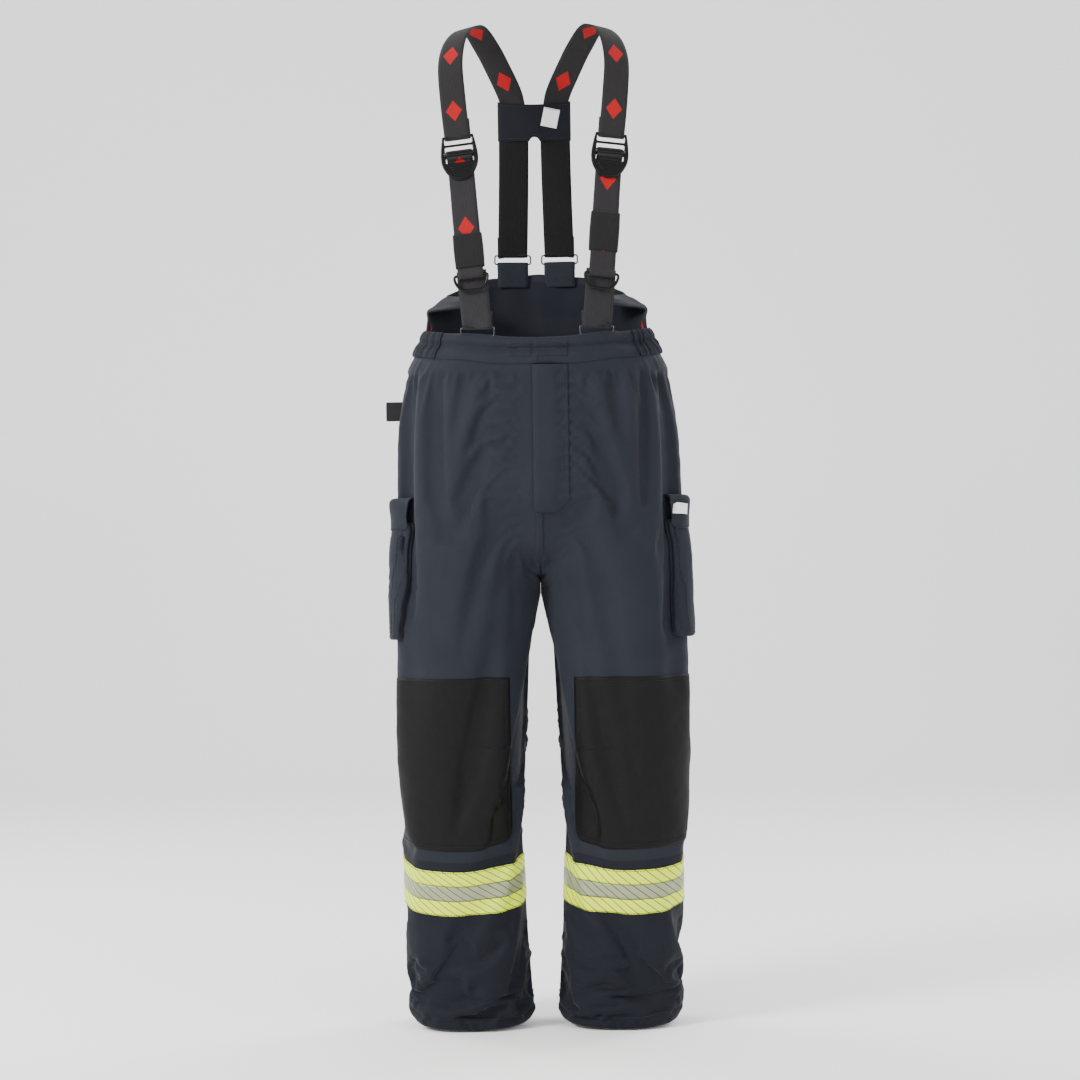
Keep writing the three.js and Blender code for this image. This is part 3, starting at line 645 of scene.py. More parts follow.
def cloth_object(name, grid, firm):
    rows, cols = grid.shape[:2]
    mesh = bpy.data.meshes.new(name)
    index = np.arange(rows * cols).reshape(rows, cols)
    mesh.from_pydata(grid.reshape(-1, 3).tolist(), [], quads(index).tolist())
    obj = link(bpy.data.objects.new(name, mesh))
    group = obj.vertex_groups.new(name="held")
    for i, weight in enumerate(firm.ravel()):
        if weight > 0:
            group.add([i], float(weight), "REPLACE")
    cloth = obj.modifiers.new("cloth", "CLOTH").settings
    cloth.vertex_group_mass = "held"
    cloth.quality = 6
    cloth.mass = 0.35
    cloth.tension_stiffness = cloth.compression_stiffness = 30
    cloth.shear_stiffness = 15
    cloth.bending_stiffness = 3.0
    cloth.shrink_min = -GROWTH
    cloth.effector_weights.gravity = 0.4
    obj.modifiers["cloth"].collision_settings.use_collision = False
    return obj


def settled(grids):
    """The same grids after the cloth solver has run, with each point's wandering capped."""
    objects = {side: cloth_object(f"settling_{side}", grid, hold(grid)) for side, grid in grids.items()}
    for number in range(1, SETTLE_FRAMES + 1):
        bpy.context.scene.frame_set(number)
    graph = bpy.context.evaluated_depsgraph_get()
    result = {}
    for side, obj in objects.items():
        moved = np.array([v.co[:] for v in obj.evaluated_get(graph).data.vertices])
        shift = moved.reshape(grids[side].shape) - grids[side]
        drift = smoothed(smoothed(shift, 60, 0), 60, 1)
        down = (np.arange(len(shift)) - KNEE_ROW + 1) * STEP
        stiff = np.exp(-(((down - STIFF_MIDDLE) / STIFF_REACH) ** 4))[:, None, None]
        shift = FOLD_GAIN * (shift - drift) * (1 - 0.8 * stiff)
        far = np.linalg.norm(shift, axis=2, keepdims=True)
        moved_by = WANDER * np.tanh(far / WANDER)
        result[side] = grids[side] + shift * WANDER * np.tanh(far / WANDER) / np.maximum(far, 1e-9)
        print(side, "asked to move", round(float(far.mean()) * 1000, 1), "mm on average")
        print(side, "moved", round(float(moved_by.mean()) * 1000, 1), "mm on average after the cap")
    for obj in objects.values():
        bpy.data.objects.remove(obj)
    bpy.context.scene.frame_set(1)
    return result


halves = settled(flat_halves)

# %% [markdown]
# ## Pleats and creases
# The side waist is gathered on elastic, and short pleats run down from it. A few creases are always in the
# same places on worn trousers: from the crotch out over the thigh, behind and over the knee, and where the
# stiff tape stops the shin from bending. Each is a shallow groove or ridge along a line, given one by one.

# %% Listed folds
# (start, end, half width, depth) in metres for the wearer's left leg, and x is mirrored for the right.
SOFT_FOLDS = {
    "left": [
        ((0.012, -0.11, -0.835), (0.06, -0.1, -0.905), 0.012, -0.004),
        ((0.01, -0.09, -0.87), (0.085, -0.105, -0.99), 0.014, -0.0035),
        ((0.21, -0.03, -0.82), (0.15, -0.11, -0.9), 0.02, 0.003),
        ((0.05, -0.1, -1.0), (0.14, -0.1, -1.05), 0.02, 0.0025),
        ((0.07, -0.085, -1.18), (0.19, -0.07, -1.165), 0.018, -0.002),
        ((0.06, -0.02, -1.37), (0.13, -0.035, -1.3), 0.02, 0.003),
        ((0.14, 0.01, -1.5), (0.13, -0.01, -1.42), 0.025, 0.003),
    ],
    "right": [
        ((0.015, -0.1, -0.855), (0.04, -0.105, -1.0), 0.01, -0.005),
        ((0.03, -0.11, -0.83), (0.1, -0.11, -0.93), 0.014, -0.0035),
        ((0.2, -0.05, -0.9), (0.1, -0.11, -0.98), 0.022, 0.003),
        ((0.08, -0.1, -1.035), (0.17, -0.095, -1.03), 0.007, -0.0025),
        ((0.06, -0.09, -1.21), (0.2, -0.06, -1.2), 0.02, -0.002),
        ((0.17, 0.0, -1.4), (0.1, -0.03, -1.34), 0.02, 0.003),
        ((0.09, 0.02, -1.52), (0.1, -0.01, -1.42), 0.025, 0.003),
    ],
}


def groove(points, start, end, width, depth):
    start, end = np.array(start), np.array(end)
    along = end - start
    t = np.clip(((points - start) @ along) / (along @ along), 0, 1)
    away = np.linalg.norm(points - (start + t[..., None] * along), axis=2)
    taper = np.sin(np.pi * np.clip(t * 0.8 + 0.1, 0, 1))
    return depth * taper * np.exp(-((away / width) ** 2))


def wave_field(points, scale, seed):
    flat = points.reshape(-1, 3)
    values = [noise.noise(Vector(p * scale) + Vector((seed, 0, 0))) for p in flat]
    return np.array(values).reshape(points.shape[:2])


def gathers(points, u):
    """Pleats that hang from the elastic at the side of the waist."""
    edge_above = np.array([band_top(y) for y in points[..., 1].ravel()]).reshape(u.shape)
    drop = edge_above - BAND_HEIGHT - points[..., 2]
    beside = np.exp(-(((points[..., 1] + 0.04) / 0.055) ** 4))
    fade = np.exp(-((drop / 0.075) ** 2)) * np.clip(drop / 0.01, 0, 1)
    lines = [noise.noise(Vector((a * 95, d * 7, 3.1))) for a, d in zip(u.ravel(), drop.ravel())]
    return 0.0065 * beside * fade * np.array(lines).reshape(u.shape)


def with_folds(side, grid):
    fine = finer(finer(grid, 0, 2), 1, 2)
    normals = outward(fine, fine.mean(axis=(0, 1)))
    middle = fine.mean(axis=1, keepdims=True)
    normals *= np.sign(((fine - middle) * normals).sum(axis=2).mean())
    mirrored = fine * np.array([SIDES[side], 1, 1])
    lift = sum(groove(mirrored, *fold) for fold in SOFT_FOLDS[side])
    lift = lift + 0.0022 * wave_field(fine * np.array([1, 1, 0.35]), 16, 7.3 * SIDES[side])
    lift = lift + 0.0006 * wave_field(fine, 60, 2.0)
    lift = lift + gathers(fine, cloth_uv(fine)[..., 0])
    edge = np.minimum(np.arange(fine.shape[1]), np.arange(fine.shape[1])[::-1]) / 8
    lift = lift * np.clip(edge, 0, 1) * np.clip(np.arange(len(fine)) / 6, 0, 1)[:, None]
    fine = fine + normals * lift[..., None]
    fine[..., 0] = SIDES[side] * np.maximum(SIDES[side] * fine[..., 0], SEAM_X)
    return fine


shells = {side: with_folds(side, grid) for side, grid in halves.items()}
FINE_STEP = STEP / 2
print("fine grid", shells["left"].shape)

# %% [markdown]
# ## Making the two halves
# Upper and lower cloth differ in tone, so each half is one mesh with two materials.

# %% Trouser halves
SHELL_THICKNESS = 0.0016
TAPE_TOP = 0.151


def bend_at_knee(obj):
    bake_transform(obj)


def inside_leg(side):
    return (SIDES[side] * 0.1, 0, -0.9)


def leg_outward(points):
    """Normals of a leg grid that point away from each row's own middle."""
    normals = face_normals(points)
    away = points - points.mean(axis=1, keepdims=True)
    return normals if (away * normals).sum() > 0 else -normals


def leg_piece(name, points, thickness, material, uv=None):
    normals = leg_outward(points)
    reference = points - normals
    return cloth_piece(name, points, reference, thickness, material, uv)


for side, points in shells.items():
    half = leg_piece(f"trouser_{side}", points, SHELL_THICKNESS, shell_twill)
    half.data.materials.append(shin_twill)
    shin_from = (KNEE_ROW - 1) * 2 + (TAPE_TOP - 0.015) / FINE_STEP
    cols = points.shape[1]
    rows_of_faces = np.array([min(p.vertices) % (points.shape[0] * cols) // cols for p in half.data.polygons])
    half.data.polygons.foreach_set("material_index", (rows_of_faces >= shin_from).astype(np.int32))
    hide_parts(*[f"{p}_{side}" for p in LEG_PANELS])
    bend_at_knee(half)
    print(half.name, len(half.data.polygons), "faces")

# %% [markdown]
# ## Places on the cloth
# Patches, tape and pockets are sewn on top, so they take their shape from the settled cloth. A place is
# found either by row and column of the leg grid, or by a ray from the front or the side.


# %% Finding places
def on_leg(side, row, column, lift):
    points, normals = shells[side], shell_normals[side]
    r, c = np.clip(row, 0, points.shape[0] - 1.001), np.clip(column, 0, points.shape[1] - 1.001)
    i, j = r.astype(int), c.astype(int)
    s, t = (r - i)[..., None], (c - j)[..., None]

    def mix(field):
        upper = field[i, j] * (1 - t) + field[i, j + 1] * t
        lower = field[i + 1, j] * (1 - t) + field[i + 1, j + 1] * t
        return upper * (1 - s) + lower * s

    normal = mix(normals)
    normal /= np.linalg.norm(normal, axis=2, keepdims=True)
    return mix(points) + normal * np.asarray(lift)[..., None]


shell_normals = {side: leg_outward(points) for side, points in shells.items()}


def row_at(z):
    return (TOP_ROW - z) / FINE_STEP


def row_down_shin(distance):
    return (KNEE_ROW - 1) * 2 + distance / FINE_STEP


def column_where(side, row, axis, value):
    """The first column from the front seam on where the row's x (axis 0) or y (axis 1) rises to value."""
    line = shells[side][int(round(row))]
    along = line[:, axis] * (SIDES[side] if axis == 0 else 1)
    rising = np.nonzero((along[:-1] < value) & (along[1:] >= value))[0]
    first = rising[0]
    return first + (value - along[first]) / (along[first + 1] - along[first])


both_shells = BVHTree.FromPolygons(
    [Vector(p) for points in shells.values() for p in points.reshape(-1, 3)],
    [list(map(int, f)) for k, points in enumerate(shells.values())
     for f in quads(np.arange(points.shape[0] * points.shape[1]).reshape(points.shape[:2])
                    + k * points.shape[0] * points.shape[1])],
)


def from_front(x, z, lift=0.0):
    """The point in front of (x, z) on the cloth, raised towards the viewer."""
    for aside in (0, 0.0012, -0.0012):
        hit, normal = both_shells.ray_cast(Vector((x + aside, -1, z)), Vector((0, 1, 0)))[:2]
        if hit is not None and hit.y < 0:
            break
    if normal.y > 0:
        normal = -normal
    return Vector((x, hit.y, z)) + normal * lift


def from_side(sign, y, z, lift=0.0):
    hit, normal = both_shells.ray_cast(Vector((sign, y, z)), Vector((-sign, 0, 0)))[:2]
    if normal.x * sign < 0:
        normal = -normal
    return hit + normal * lift


print("front of the fly", from_front(0.01, -0.6))

# %% [markdown]
# ## Stitching
# Topstitching is a row of short, slightly raised thread bars, each a few millimetres long. Every bar is a
# small closed box with pinched ends, laid along a line of points that lies on the cloth.

# %% Thread
STITCH, STITCH_GAP, THREAD = 0.0032, 0.0014, 0.00042


def stitched(name, lines, body, material=None, blend_side=None):
    """Rows of stitches along lines, each a list of (point, normal), as one mesh on a body."""
    vertices, faces = [], []
    for points, normals in lines:
        points, normals = np.asarray(points, float), np.asarray(normals, float)
        length = np.insert(np.cumsum(np.linalg.norm(np.diff(points, axis=0), axis=1)), 0, 0)
        pitch = STITCH + STITCH_GAP
        for start in np.arange(pitch / 2, length[-1] - STITCH, pitch):
            at = [np.array([np.interp(start + f * STITCH, length, points[:, k]) for k in range(3)])
                  for f in (0, 0.5, 1)]
            normal = np.array([np.interp(start, length, normals[:, k]) for k in range(3)])
            normal /= np.linalg.norm(normal)
            way = at[2] - at[0]
            wide = np.cross(way, normal)
            wide /= max(np.linalg.norm(wide), 1e-9)
            base = len(vertices)
            for place, size in zip(at, (0.45, 1, 0.45)):
                lift = normal * THREAD * size
                side_step = wide * THREAD * 1.2 * size
                vertices += [place - side_step - normal * THREAD, place + side_step - normal * THREAD,
                             place + side_step * 0.7 + lift, place - side_step * 0.7 + lift]
            for ring_start in (base, base + 4):
                for k in range(4):
                    faces.append([ring_start + k, ring_start + (k + 1) % 4,
                                  ring_start + 4 + (k + 1) % 4, ring_start + 4 + k])
            faces += [[base + 3, base + 2, base + 1, base], [base + 8, base + 9, base + 10, base + 11]]
    obj = mesh_object(name, vertices, faces, np.zeros((len(vertices), 2)), material or thread)
    if blend_side:
        bend_at_knee(obj)
    else:
        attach(obj, body)
    return obj


def leg_line(side, rows, columns, lift):
    grid = on_leg(side, np.array([rows], float), np.array([columns], float), np.full((1, len(rows)), lift))
    raised = np.full((1, len(rows)), lift + MM)
    above = on_leg(side, np.array([rows], float), np.array([columns], float), raised)
    return grid[0], (above - grid)[0]


print("stitch pitch", STITCH + STITCH_GAP)

# %% [markdown]
# ## Knee patches
# Each patch is a stiff coated cloth, sewn flat over the knee from near the inseam round to the outer side
# seam. It is laid out on the leg grid, a hair above the twill.

# %% Knee patches
PATCH_LIFT = 0.0017
PATCH_THICKNESS = 0.0014
PATCH_INNER_X = 0.05


def patch_outline(side, across, down):
    """Row and column of a place on the patch: across 0 is the inner edge, down 0 the top."""
    box_low, box_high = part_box(f"knee_patch_{side}")
    top = row_at(box_high.z)
    bottom = row_down_shin(0.118)
    row = top + (bottom - top) * down
    corner = 0.05
    pull = np.clip((down - (1 - corner)) / corner, 0, 1)
    inner = np.zeros_like(row)
    outer = np.zeros_like(row)
    for index in np.ndindex(row.shape):
        if index[1] == 0:
            first = column_where(side, row[index], 0, PATCH_INNER_X)
            last = column_where(side, row[index], 1, -0.012)
        inner[index], outer[index] = first, last
    start = inner + (1 - np.sqrt(np.maximum(0, 1 - pull ** 2))) * 4.5
    return row, start + (outer - start) * across


for side in SIDES:
    down, across = np.meshgrid(np.linspace(0, 1, 72), np.linspace(0, 1, 56), indexing="ij")
    rows, columns = patch_outline(side, across, down)
    rim_fade = np.minimum.reduce([across * 55, (1 - across) * 55, down * 71, (1 - down) * 71])
    lift = PATCH_LIFT - 0.0006 * np.exp(-rim_fade) - 0.0005 * np.exp(-((rim_fade - 2.4) ** 2) / 0.4)
    patch = leg_piece(f"patch_{side}", on_leg(side, rows, columns, lift), PATCH_THICKNESS, patch_coat)
    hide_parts(f"knee_patch_{side}")
    bend_at_knee(patch)
    inset = [2, -3]
    lines = [
        leg_line(side, rows[inset[0]], columns[inset[0]], PATCH_LIFT),
        leg_line(side, rows[inset[1], 2:], columns[inset[1], 2:], PATCH_LIFT),
        leg_line(side, rows[:-3, 2], columns[:-3, 2], PATCH_LIFT),
        leg_line(side, rows[:, -3], columns[:, -3], PATCH_LIFT),
    ]
    stitched(f"patch_stitching_{side}", lines, None, dark_thread, blend_side=side)
    print(patch.name, len(lines), "lines of stitching")

# %% [markdown]
# ## Reflective band
# Three stripes of tape lie edge to edge round the shin, with a thin dark sewn edge between them. The tape
# is stiffer than the twill, so it stands a little proud and lies flatter than the cloth under it.

# %% Reflective tape round the shins
STRIPES = [("yellow_upper", yellow_tape, "yellow_trim"), ("silver", silver_tape, "silver_trim"),
           ("yellow_lower", yellow_tape, "yellow_trim")]
STRIPE = 0.025


def tape_grid(side, top, bottom, lift):
    cols = shells[side].shape[1]
    down, across = np.meshgrid(np.linspace(top, bottom, 9), np.arange(cols, dtype=float), indexing="ij")
    rim = np.minimum(down - top, bottom - down) / (bottom - top)
    return on_leg(side, row_down_shin(down), across, lift - 0.0005 * np.exp(-rim * 40))


for side in SIDES:
    for i, (stripe, tape, slot_name) in enumerate(STRIPES):
        top = TAPE_TOP + i * STRIPE + 0.0004
        grid = tape_grid(side, top, top + STRIPE - 0.0008, 0.0016)
        same_lean = cloth_uv(grid) * np.array([-SIDES[side], 1])
        strip = leg_piece(f"{stripe}_tape_{side}", grid, 0.0011, tape, same_lean)
        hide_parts(f"{stripe}_stripe_{side}")
        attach(strip, f"lower_leg_{side}")
    cols = np.arange(0, shells[side].shape[1] - 1, dtype=float)
    edges = [TAPE_TOP + 0.002, TAPE_TOP + 3 * STRIPE - 0.002]
    lines = [leg_line(side, np.full(len(cols), row_down_shin(d)), cols, 0.0017) for d in edges]
    stitched(f"tape_stitching_{side}", lines, f"lower_leg_{side}", dark_thread)
    backing = tape_grid(side, TAPE_TOP - 0.0006, TAPE_TOP + 3 * STRIPE + 0.0006, 0.0007)
    under = leg_piece(f"tape_backing_{side}", backing, 0.0005, dark_twill)
    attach(under, f"lower_leg_{side}")
    print("tape on the", side)

# %% [markdown]
# ## Hem, side seams and lining
# The hem is turned up twice and stitched. The outer side seam is a lapped seam with two rows of
# topstitching. Inside, a quilted thermal lining hangs a few millimetres off the shell.

# %% Hem and seams
for side in SIDES:
    last = shells[side].shape[0] - 1
    cols = np.arange(0, shells[side].shape[1] - 1, dtype=float)
    hem_grid = on_leg(
        side, *np.meshgrid(np.linspace(last - 5.5, last, 8), np.arange(shells[side].shape[1], dtype=float),
                           indexing="ij"),
        0.0009 - 0.0006 * (np.abs(np.linspace(-1, 1, 8)) ** 4)[:, None] * np.ones(shells[side].shape[1]),
    )
    hem = leg_piece(f"hem_{side}", hem_grid, 0.0034, shin_twill)
    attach(hem, f"lower_leg_{side}")
    stitched(
        f"hem_stitching_{side}",
        [leg_line(side, np.full(len(cols), last - 4.6), cols, 0.0011)], f"lower_leg_{side}",
    )
    seam_rows_fine = np.arange(10, last - 6, dtype=float)
    seam_column = np.full(len(seam_rows_fine), shells[side].shape[1] * 0.52)
    wide, tall = np.meshgrid(np.linspace(-1.1, 1.1, 5), seam_rows_fine)
    crown = 0.0008 * (1 - np.abs(np.linspace(-1, 1, 5)) ** 3) * np.ones_like(wide)
    lap = on_leg(side, tall, seam_column[:, None] + wide, crown)
    seam = leg_piece(f"side_seam_{side}", lap, 0.0008, shell_twill)
    bend_at_knee(seam)
    stitched(
        f"side_seam_stitching_{side}",
        [leg_line(side, seam_rows_fine, seam_column + step, 0.0009) for step in (-0.8, 0.8)],
        None, blend_side=side,
    )

# %% Lining
for side in SIDES:
    coarse = shells[side][::4, ::4]
    normals = leg_outward(coarse)
    keep_to = coarse.shape[0] - 4
    inner = smoothed(coarse - normals * 0.0045, 2, 0)[8:keep_to]
    inner[..., 0] = SIDES[side] * np.maximum(SIDES[side] * inner[..., 0], 0.003)
    liner = leg_piece(f"lining_{side}", finer(finer(inner, 0, 2), 1, 2), 0.0018, lining)
    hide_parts(f"upper_liner_{side}", f"lower_liner_{side}")
    bend_at_knee(liner)
    print(liner.name, liner.data.name)

# %% [markdown]
# ## Waistband
# The front waist is a folded band of twill, 41 mm high, with a row of stitching near each edge. At the
# sides it is gathered on elastic, which the cloth shows as close upright puckers.

# %% Round the waist
EAR_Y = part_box("raised_back")[0].y
GATHER_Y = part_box("side_elastic_left")[0].y
WIRE_X = 0.091


def round_trunk(turn, z):
    """The trunk's face at a turn about its upright axis, 0 at the front and a quarter at the left side."""
    way = Vector((math.sin(turn), -math.cos(turn), 0))
    hit = trunk_tree.ray_cast(Vector((0, 0, z)) + way * REACH, -way, REACH)[0]
    return hit if hit is not None else Vector((0, 0, z)) + way * 0.1


def turn_to_y(y, z, sign):
    """The turn at which the trunk's side reaches y."""
    return min(np.linspace(0.5, 2.2, 600), key=lambda a: abs(round_trunk(sign * a, z).y - y))


def trunk_grid(turns, z_top, z_low, rows, lift):
    """A grid on the trunk: z_top(turn, y) and z_low(y) give its edges, lift[row, column] raises it."""
    grid = np.zeros((rows, len(turns), 3))
    for j, turn in enumerate(turns):
        mid = round_trunk(turn, (WAIST_SEAM + z_low(0)) / 2)
        top, low = z_top(turn, mid.y), z_low(mid.y)
        for i in range(rows):
            grid[i, j] = round_trunk(turn, top + (low - top) * i / (rows - 1))
    grid = smoothed(grid, 8, 1)
    normals = outward(grid, (0, 0, grid[..., 2].mean()))
    return grid + normals * lift[..., None]


def band_rows(side, column, count=17):
    """Rows of the leg grid from the band's top edge to its lower edge at one column."""
    line = shells[side][:60, int(round(column))]
    low = band_top(line[6, 1]) - BAND_HEIGHT
    last = np.interp(-low, -line[:, 2], np.arange(60))
    return np.linspace(0, last, count)


# %% Front waistband
for side, sign in SIDES.items():
    split = column_where(side, 4, 1, GATHER_Y)
    columns = np.linspace(0, split, 100)
    rows = np.array([band_rows(side, c) for c in columns]).T
    edge = np.abs(np.linspace(-1, 1, 17))[:, None]
    over_wire = np.exp(-(((np.abs(shells[side][4, columns.astype(int), 0]) - WIRE_X) / 0.034) ** 6))[None, :]
    lift = 0.0016 - 0.0008 * edge ** 10 - 0.0004 * np.exp(-((edge - 0.86) ** 2) / 0.002)
    lift = lift + 0.003 * over_wire * np.linspace(1, 0, 17)[:, None] ** 1.5
    grid = on_leg(side, rows, np.broadcast_to(columns, rows.shape), lift)
    band = cloth_piece(f"band_{side}", grid, (0, 0, -0.52), 0.0022, shell_twill)
    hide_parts(f"waistband_{side}")
    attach(band, "root")
    normals = outward(grid, (0, 0, -0.52))
    stitched(f"band_stitching_{side}", [(grid[r], normals[r]) for r in (1, 15)], "root")
    print("band", side, "from the middle to column", round(float(split), 1))

# %% Gathered sides
for side, sign in SIDES.items():
    start = column_where(side, 4, 1, GATHER_Y)
    end = column_where(side, 4, 1, EAR_Y + 0.012)
    columns = np.linspace(start + 0.3, end, 150)
    rows = np.array([band_rows(side, c) for c in columns]).T
    pucker = np.array([noise.noise(Vector((c * 0.62, 4 * sign, 0))) for c in columns])[None, :]
    small = np.array([noise.noise(Vector((c * 1.7, 9 * sign, 0))) for c in columns])[None, :]
    edge = np.abs(np.linspace(-1, 1, 17))[:, None]
    lift = 0.0034 + (0.0058 * pucker + 0.0022 * small) * (1 - 0.45 * edge ** 4) - 0.0012 * edge ** 8
    grid = on_leg(side, rows, np.broadcast_to(columns, rows.shape), lift)
    gathered = cloth_piece(f"gathered_side_{side}", grid, (0, 0, -0.52), 0.0034, shell_twill)
    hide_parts(f"side_elastic_{side}")
    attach(gathered, "root")
    normals = outward(grid, (0, 0, -0.52))
    stitched(f"gathered_stitching_{side}", [(grid[r], normals[r]) for r in (4, 8, 12)], "root")

# %% [markdown]
# ## Raised back
# Behind, the trousers rise to the kidneys. The panel stands up by itself, with a soft wave in its free
# edge, and its two front corners turn out like small ears that carry a red pull tab inside.

# %% Raised back panel
# (y, z) of the panel's top edge, from the ear round to the middle of the back.
BACK_EDGE = [(-0.01, -0.45), (0.045, -0.434), (0.082, -0.405), (0.103, -0.374), (0.2, -0.374)]
EAR_ROUND = 0.26  # turn, in radians, over which each ear's corner is rounded off
BACK_COLUMNS = 201

ear_turn = {side: turn_to_y(EAR_Y - 0.002, -0.48, sign) for side, sign in SIDES.items()}
back_turns = np.linspace(ear_turn["left"], 2 * math.pi - ear_turn["right"], BACK_COLUMNS)


def back_top(turn, y):
    from_ear = min(turn - back_turns[0], back_turns[-1] - turn)
    near = max(0.0, 1 - from_ear / EAR_ROUND)
    top = float(np.interp(y, [p[0] for p in BACK_EDGE], [p[1] for p in BACK_EDGE]))
    return top - 0.034 * (1 - math.sqrt(1 - near ** 2))


share = np.linspace(0, 1, 40)[:, None]
from_end = np.minimum(np.arange(BACK_COLUMNS), np.arange(BACK_COLUMNS)[::-1])
near_ear = np.exp(-((from_end / 11.0) ** 2))[None, :]
wave = np.array([noise.noise(Vector((t * 3.1, 0, 1.7))) for t in back_turns])[None, :]
crumple = np.array([[noise.noise(Vector((t * 11, r * 2.3, 5.1))) for t in back_turns] for r in share[:, 0]])
lift = 0.001 + (1 - share) ** 1.5 * 0.006 * wave + 0.005 * crumple * (1 - share) * near_ear
lift = lift + near_ear * 0.006 * np.sin(np.pi * np.clip(1.15 * (1 - share), 0, 1))
back_grid = trunk_grid(back_turns, back_top, lambda y: WAIST_SEAM - 0.004, 40, lift)
raised = cloth_piece("raised_back_panel", back_grid, (0, 0, -0.45), 0.003, shell_twill)
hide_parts("raised_back")
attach(raised, "root")
normals = outward(back_grid, (0, 0, -0.45))
inner_face = back_grid - normals * 0.0031
stitched("raised_back_stitching", [
    (back_grid[1], normals[1]), (inner_face[1], -normals[1]), (back_grid[-3], normals[-3]),
    (inner_face[-7], -normals[-7]),
], "root")
# A darker sheet over the middle of the panel's inner face is painted shade, for the inside of the back that
# the front of the trousers hides from the lamps.
painted_shade_columns = slice(60, 141)
facing = (inner_face - normals * 0.0004)[3:, painted_shade_columns]
painted_shade_piece = cloth_piece("back_painted_shade", facing, (0, 2, -0.45), 0.0012, dark_twill)
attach(painted_shade_piece, "root")
print("raised back", back_grid.shape)

# %% Red pull tabs inside the ears
for side, sign in SIDES.items():
    j = 3 if sign > 0 else BACK_COLUMNS - 4
    columns = [j + sign * k for k in range(0, 5)]
    patch_grid = (inner_face - normals * 0.0014)[8:20][:, columns]
    inside = back_grid[5, j] + normals[5, j]
    tab = cloth_piece(f"ear_tab_{side}", finer(finer(patch_grid, 0, 2), 1, 2), inside, 0.0012, red_tape)
    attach(tab, "root")

# %% [markdown]
# ## Fly and waist tab
# A flap covers the zip. It is sewn along its left edge and held shut along its right, with its lower
# corner rounded off. Above it a hook-and-loop tab closes the waist.


# %% Flat cloth on the front
def front_sheet(name, low, high, lift, thickness, material, shape=None, cols=40, rows=60):
    """A sheet over a rectangle of the front. shape(s, t) may move a place within the rectangle."""
    grid = np.zeros((rows, cols, 3))
    for i, t in enumerate(np.linspace(0, 1, rows)):
        for j, s in enumerate(np.linspace(0, 1, cols)):
            u, v = shape(s, t) if shape else (s, t)
            x = low[0] + (high[0] - low[0]) * u
            z = high[1] + (low[1] - high[1]) * v
            grid[i, j] = from_front(x, z, lift(u, v))
    grid = smoothed(smoothed(grid, 2, 0), 2, 1)
    return grid, cloth_piece(name, grid, (0, 0, -0.6), thickness, material)


def front_normals(grid):
    return outward(grid, (0, 0, grid[..., 2].mean()))


# %% Fly flap
flap_low, flap_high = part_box("fly_flap")


def flap_corner(s, t):
    """Rounds the lower corner on the stitched side."""
    drop = 1 - 0.085 * np.clip((s - 0.35) / 0.65, 0, 1) ** 2.6
    return s, t * drop


def flap_lift(u, v):
    free = np.exp(-u * 9)
    toward_seam = np.clip((u - 0.5) / 0.42, 0, 1)
    ease = toward_seam ** 2 * (3 - 2 * toward_seam)
    low_edge = np.exp(-(1 - v) * 30)
    return 0.0062 - 0.003 * free - 0.0046 * ease - 0.001 * low_edge * (1 - ease)


flap_grid, fly = front_sheet(
    "fly_cover", (flap_low.x, flap_low.z), (flap_high.x, flap_high.z), flap_lift, 0.0014, shell_twill,
    flap_corner, 40, 110,
)
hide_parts("fly_flap")
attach(fly, "fly_flap")
flap_normals = front_normals(flap_grid)
stitched("fly_stitching", [
    (flap_grid[2:-3, 2], flap_normals[2:-3, 2]), (flap_grid[-4, 2:-3], flap_normals[-4, 2:-3]),
    (flap_grid[2:-3, -4], flap_normals[2:-3, -4]), (flap_grid[2:-3, -9], flap_normals[2:-3, -9]),
], "fly_flap")

# %% Placket under the flap
placket_low, placket_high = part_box("fly_placket")
_, placket = front_sheet(
    "placket", (placket_low.x, placket_low.z), (placket_high.x, placket_high.z),
    lambda u, v: 0.0009 - 0.0003 * abs(2 * u - 1) ** 6, 0.0009, plain_twill, None, 14, 60,
)
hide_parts("fly_placket")
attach(placket, "root")

# %% Zip
frame["nodes"]["zip_slider"].data.materials.clear()
frame["nodes"]["zip_slider"].data.materials.append(steel)
tape_low, tape_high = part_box("zip_tape")
_, zip_cloth = front_sheet(
    "zip_cloth", (tape_low.x, tape_low.z), (tape_high.x, tape_high.z), lambda u, v: 0.0006, 0.0009,
    elastic_weave, None, 8, 60,
)
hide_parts("zip_tape")
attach(zip_cloth, "root")


def blocks(name, centres, frames, size, material):
    """Small closed blocks with their edges taken in, one at each centre."""
    vertices, faces = [], []
    for centre, axes in zip(centres, frames):
        base = len(vertices)
        for level, shrink in ((-1, 0.72), (-0.6, 1), (0.6, 1), (1, 0.72)):
            for a, b in ((-1, -1), (1, -1), (1, 1), (-1, 1)):
                local = np.array([a * shrink * size[0], b * shrink * size[1], level * size[2]]) / 2
                vertices.append(np.array(centre) + axes.T @ local)
        for level in range(3):
            for k in range(4):
                a = base + level * 4 + k
                b = base + level * 4 + (k + 1) % 4
                faces.append([a, b, b + 4, a + 4])
        faces += [[base + 3, base + 2, base + 1, base], [base + 12, base + 13, base + 14, base + 15]]
    return mesh_object(name, vertices, faces, np.zeros((len(vertices), 2)), material)


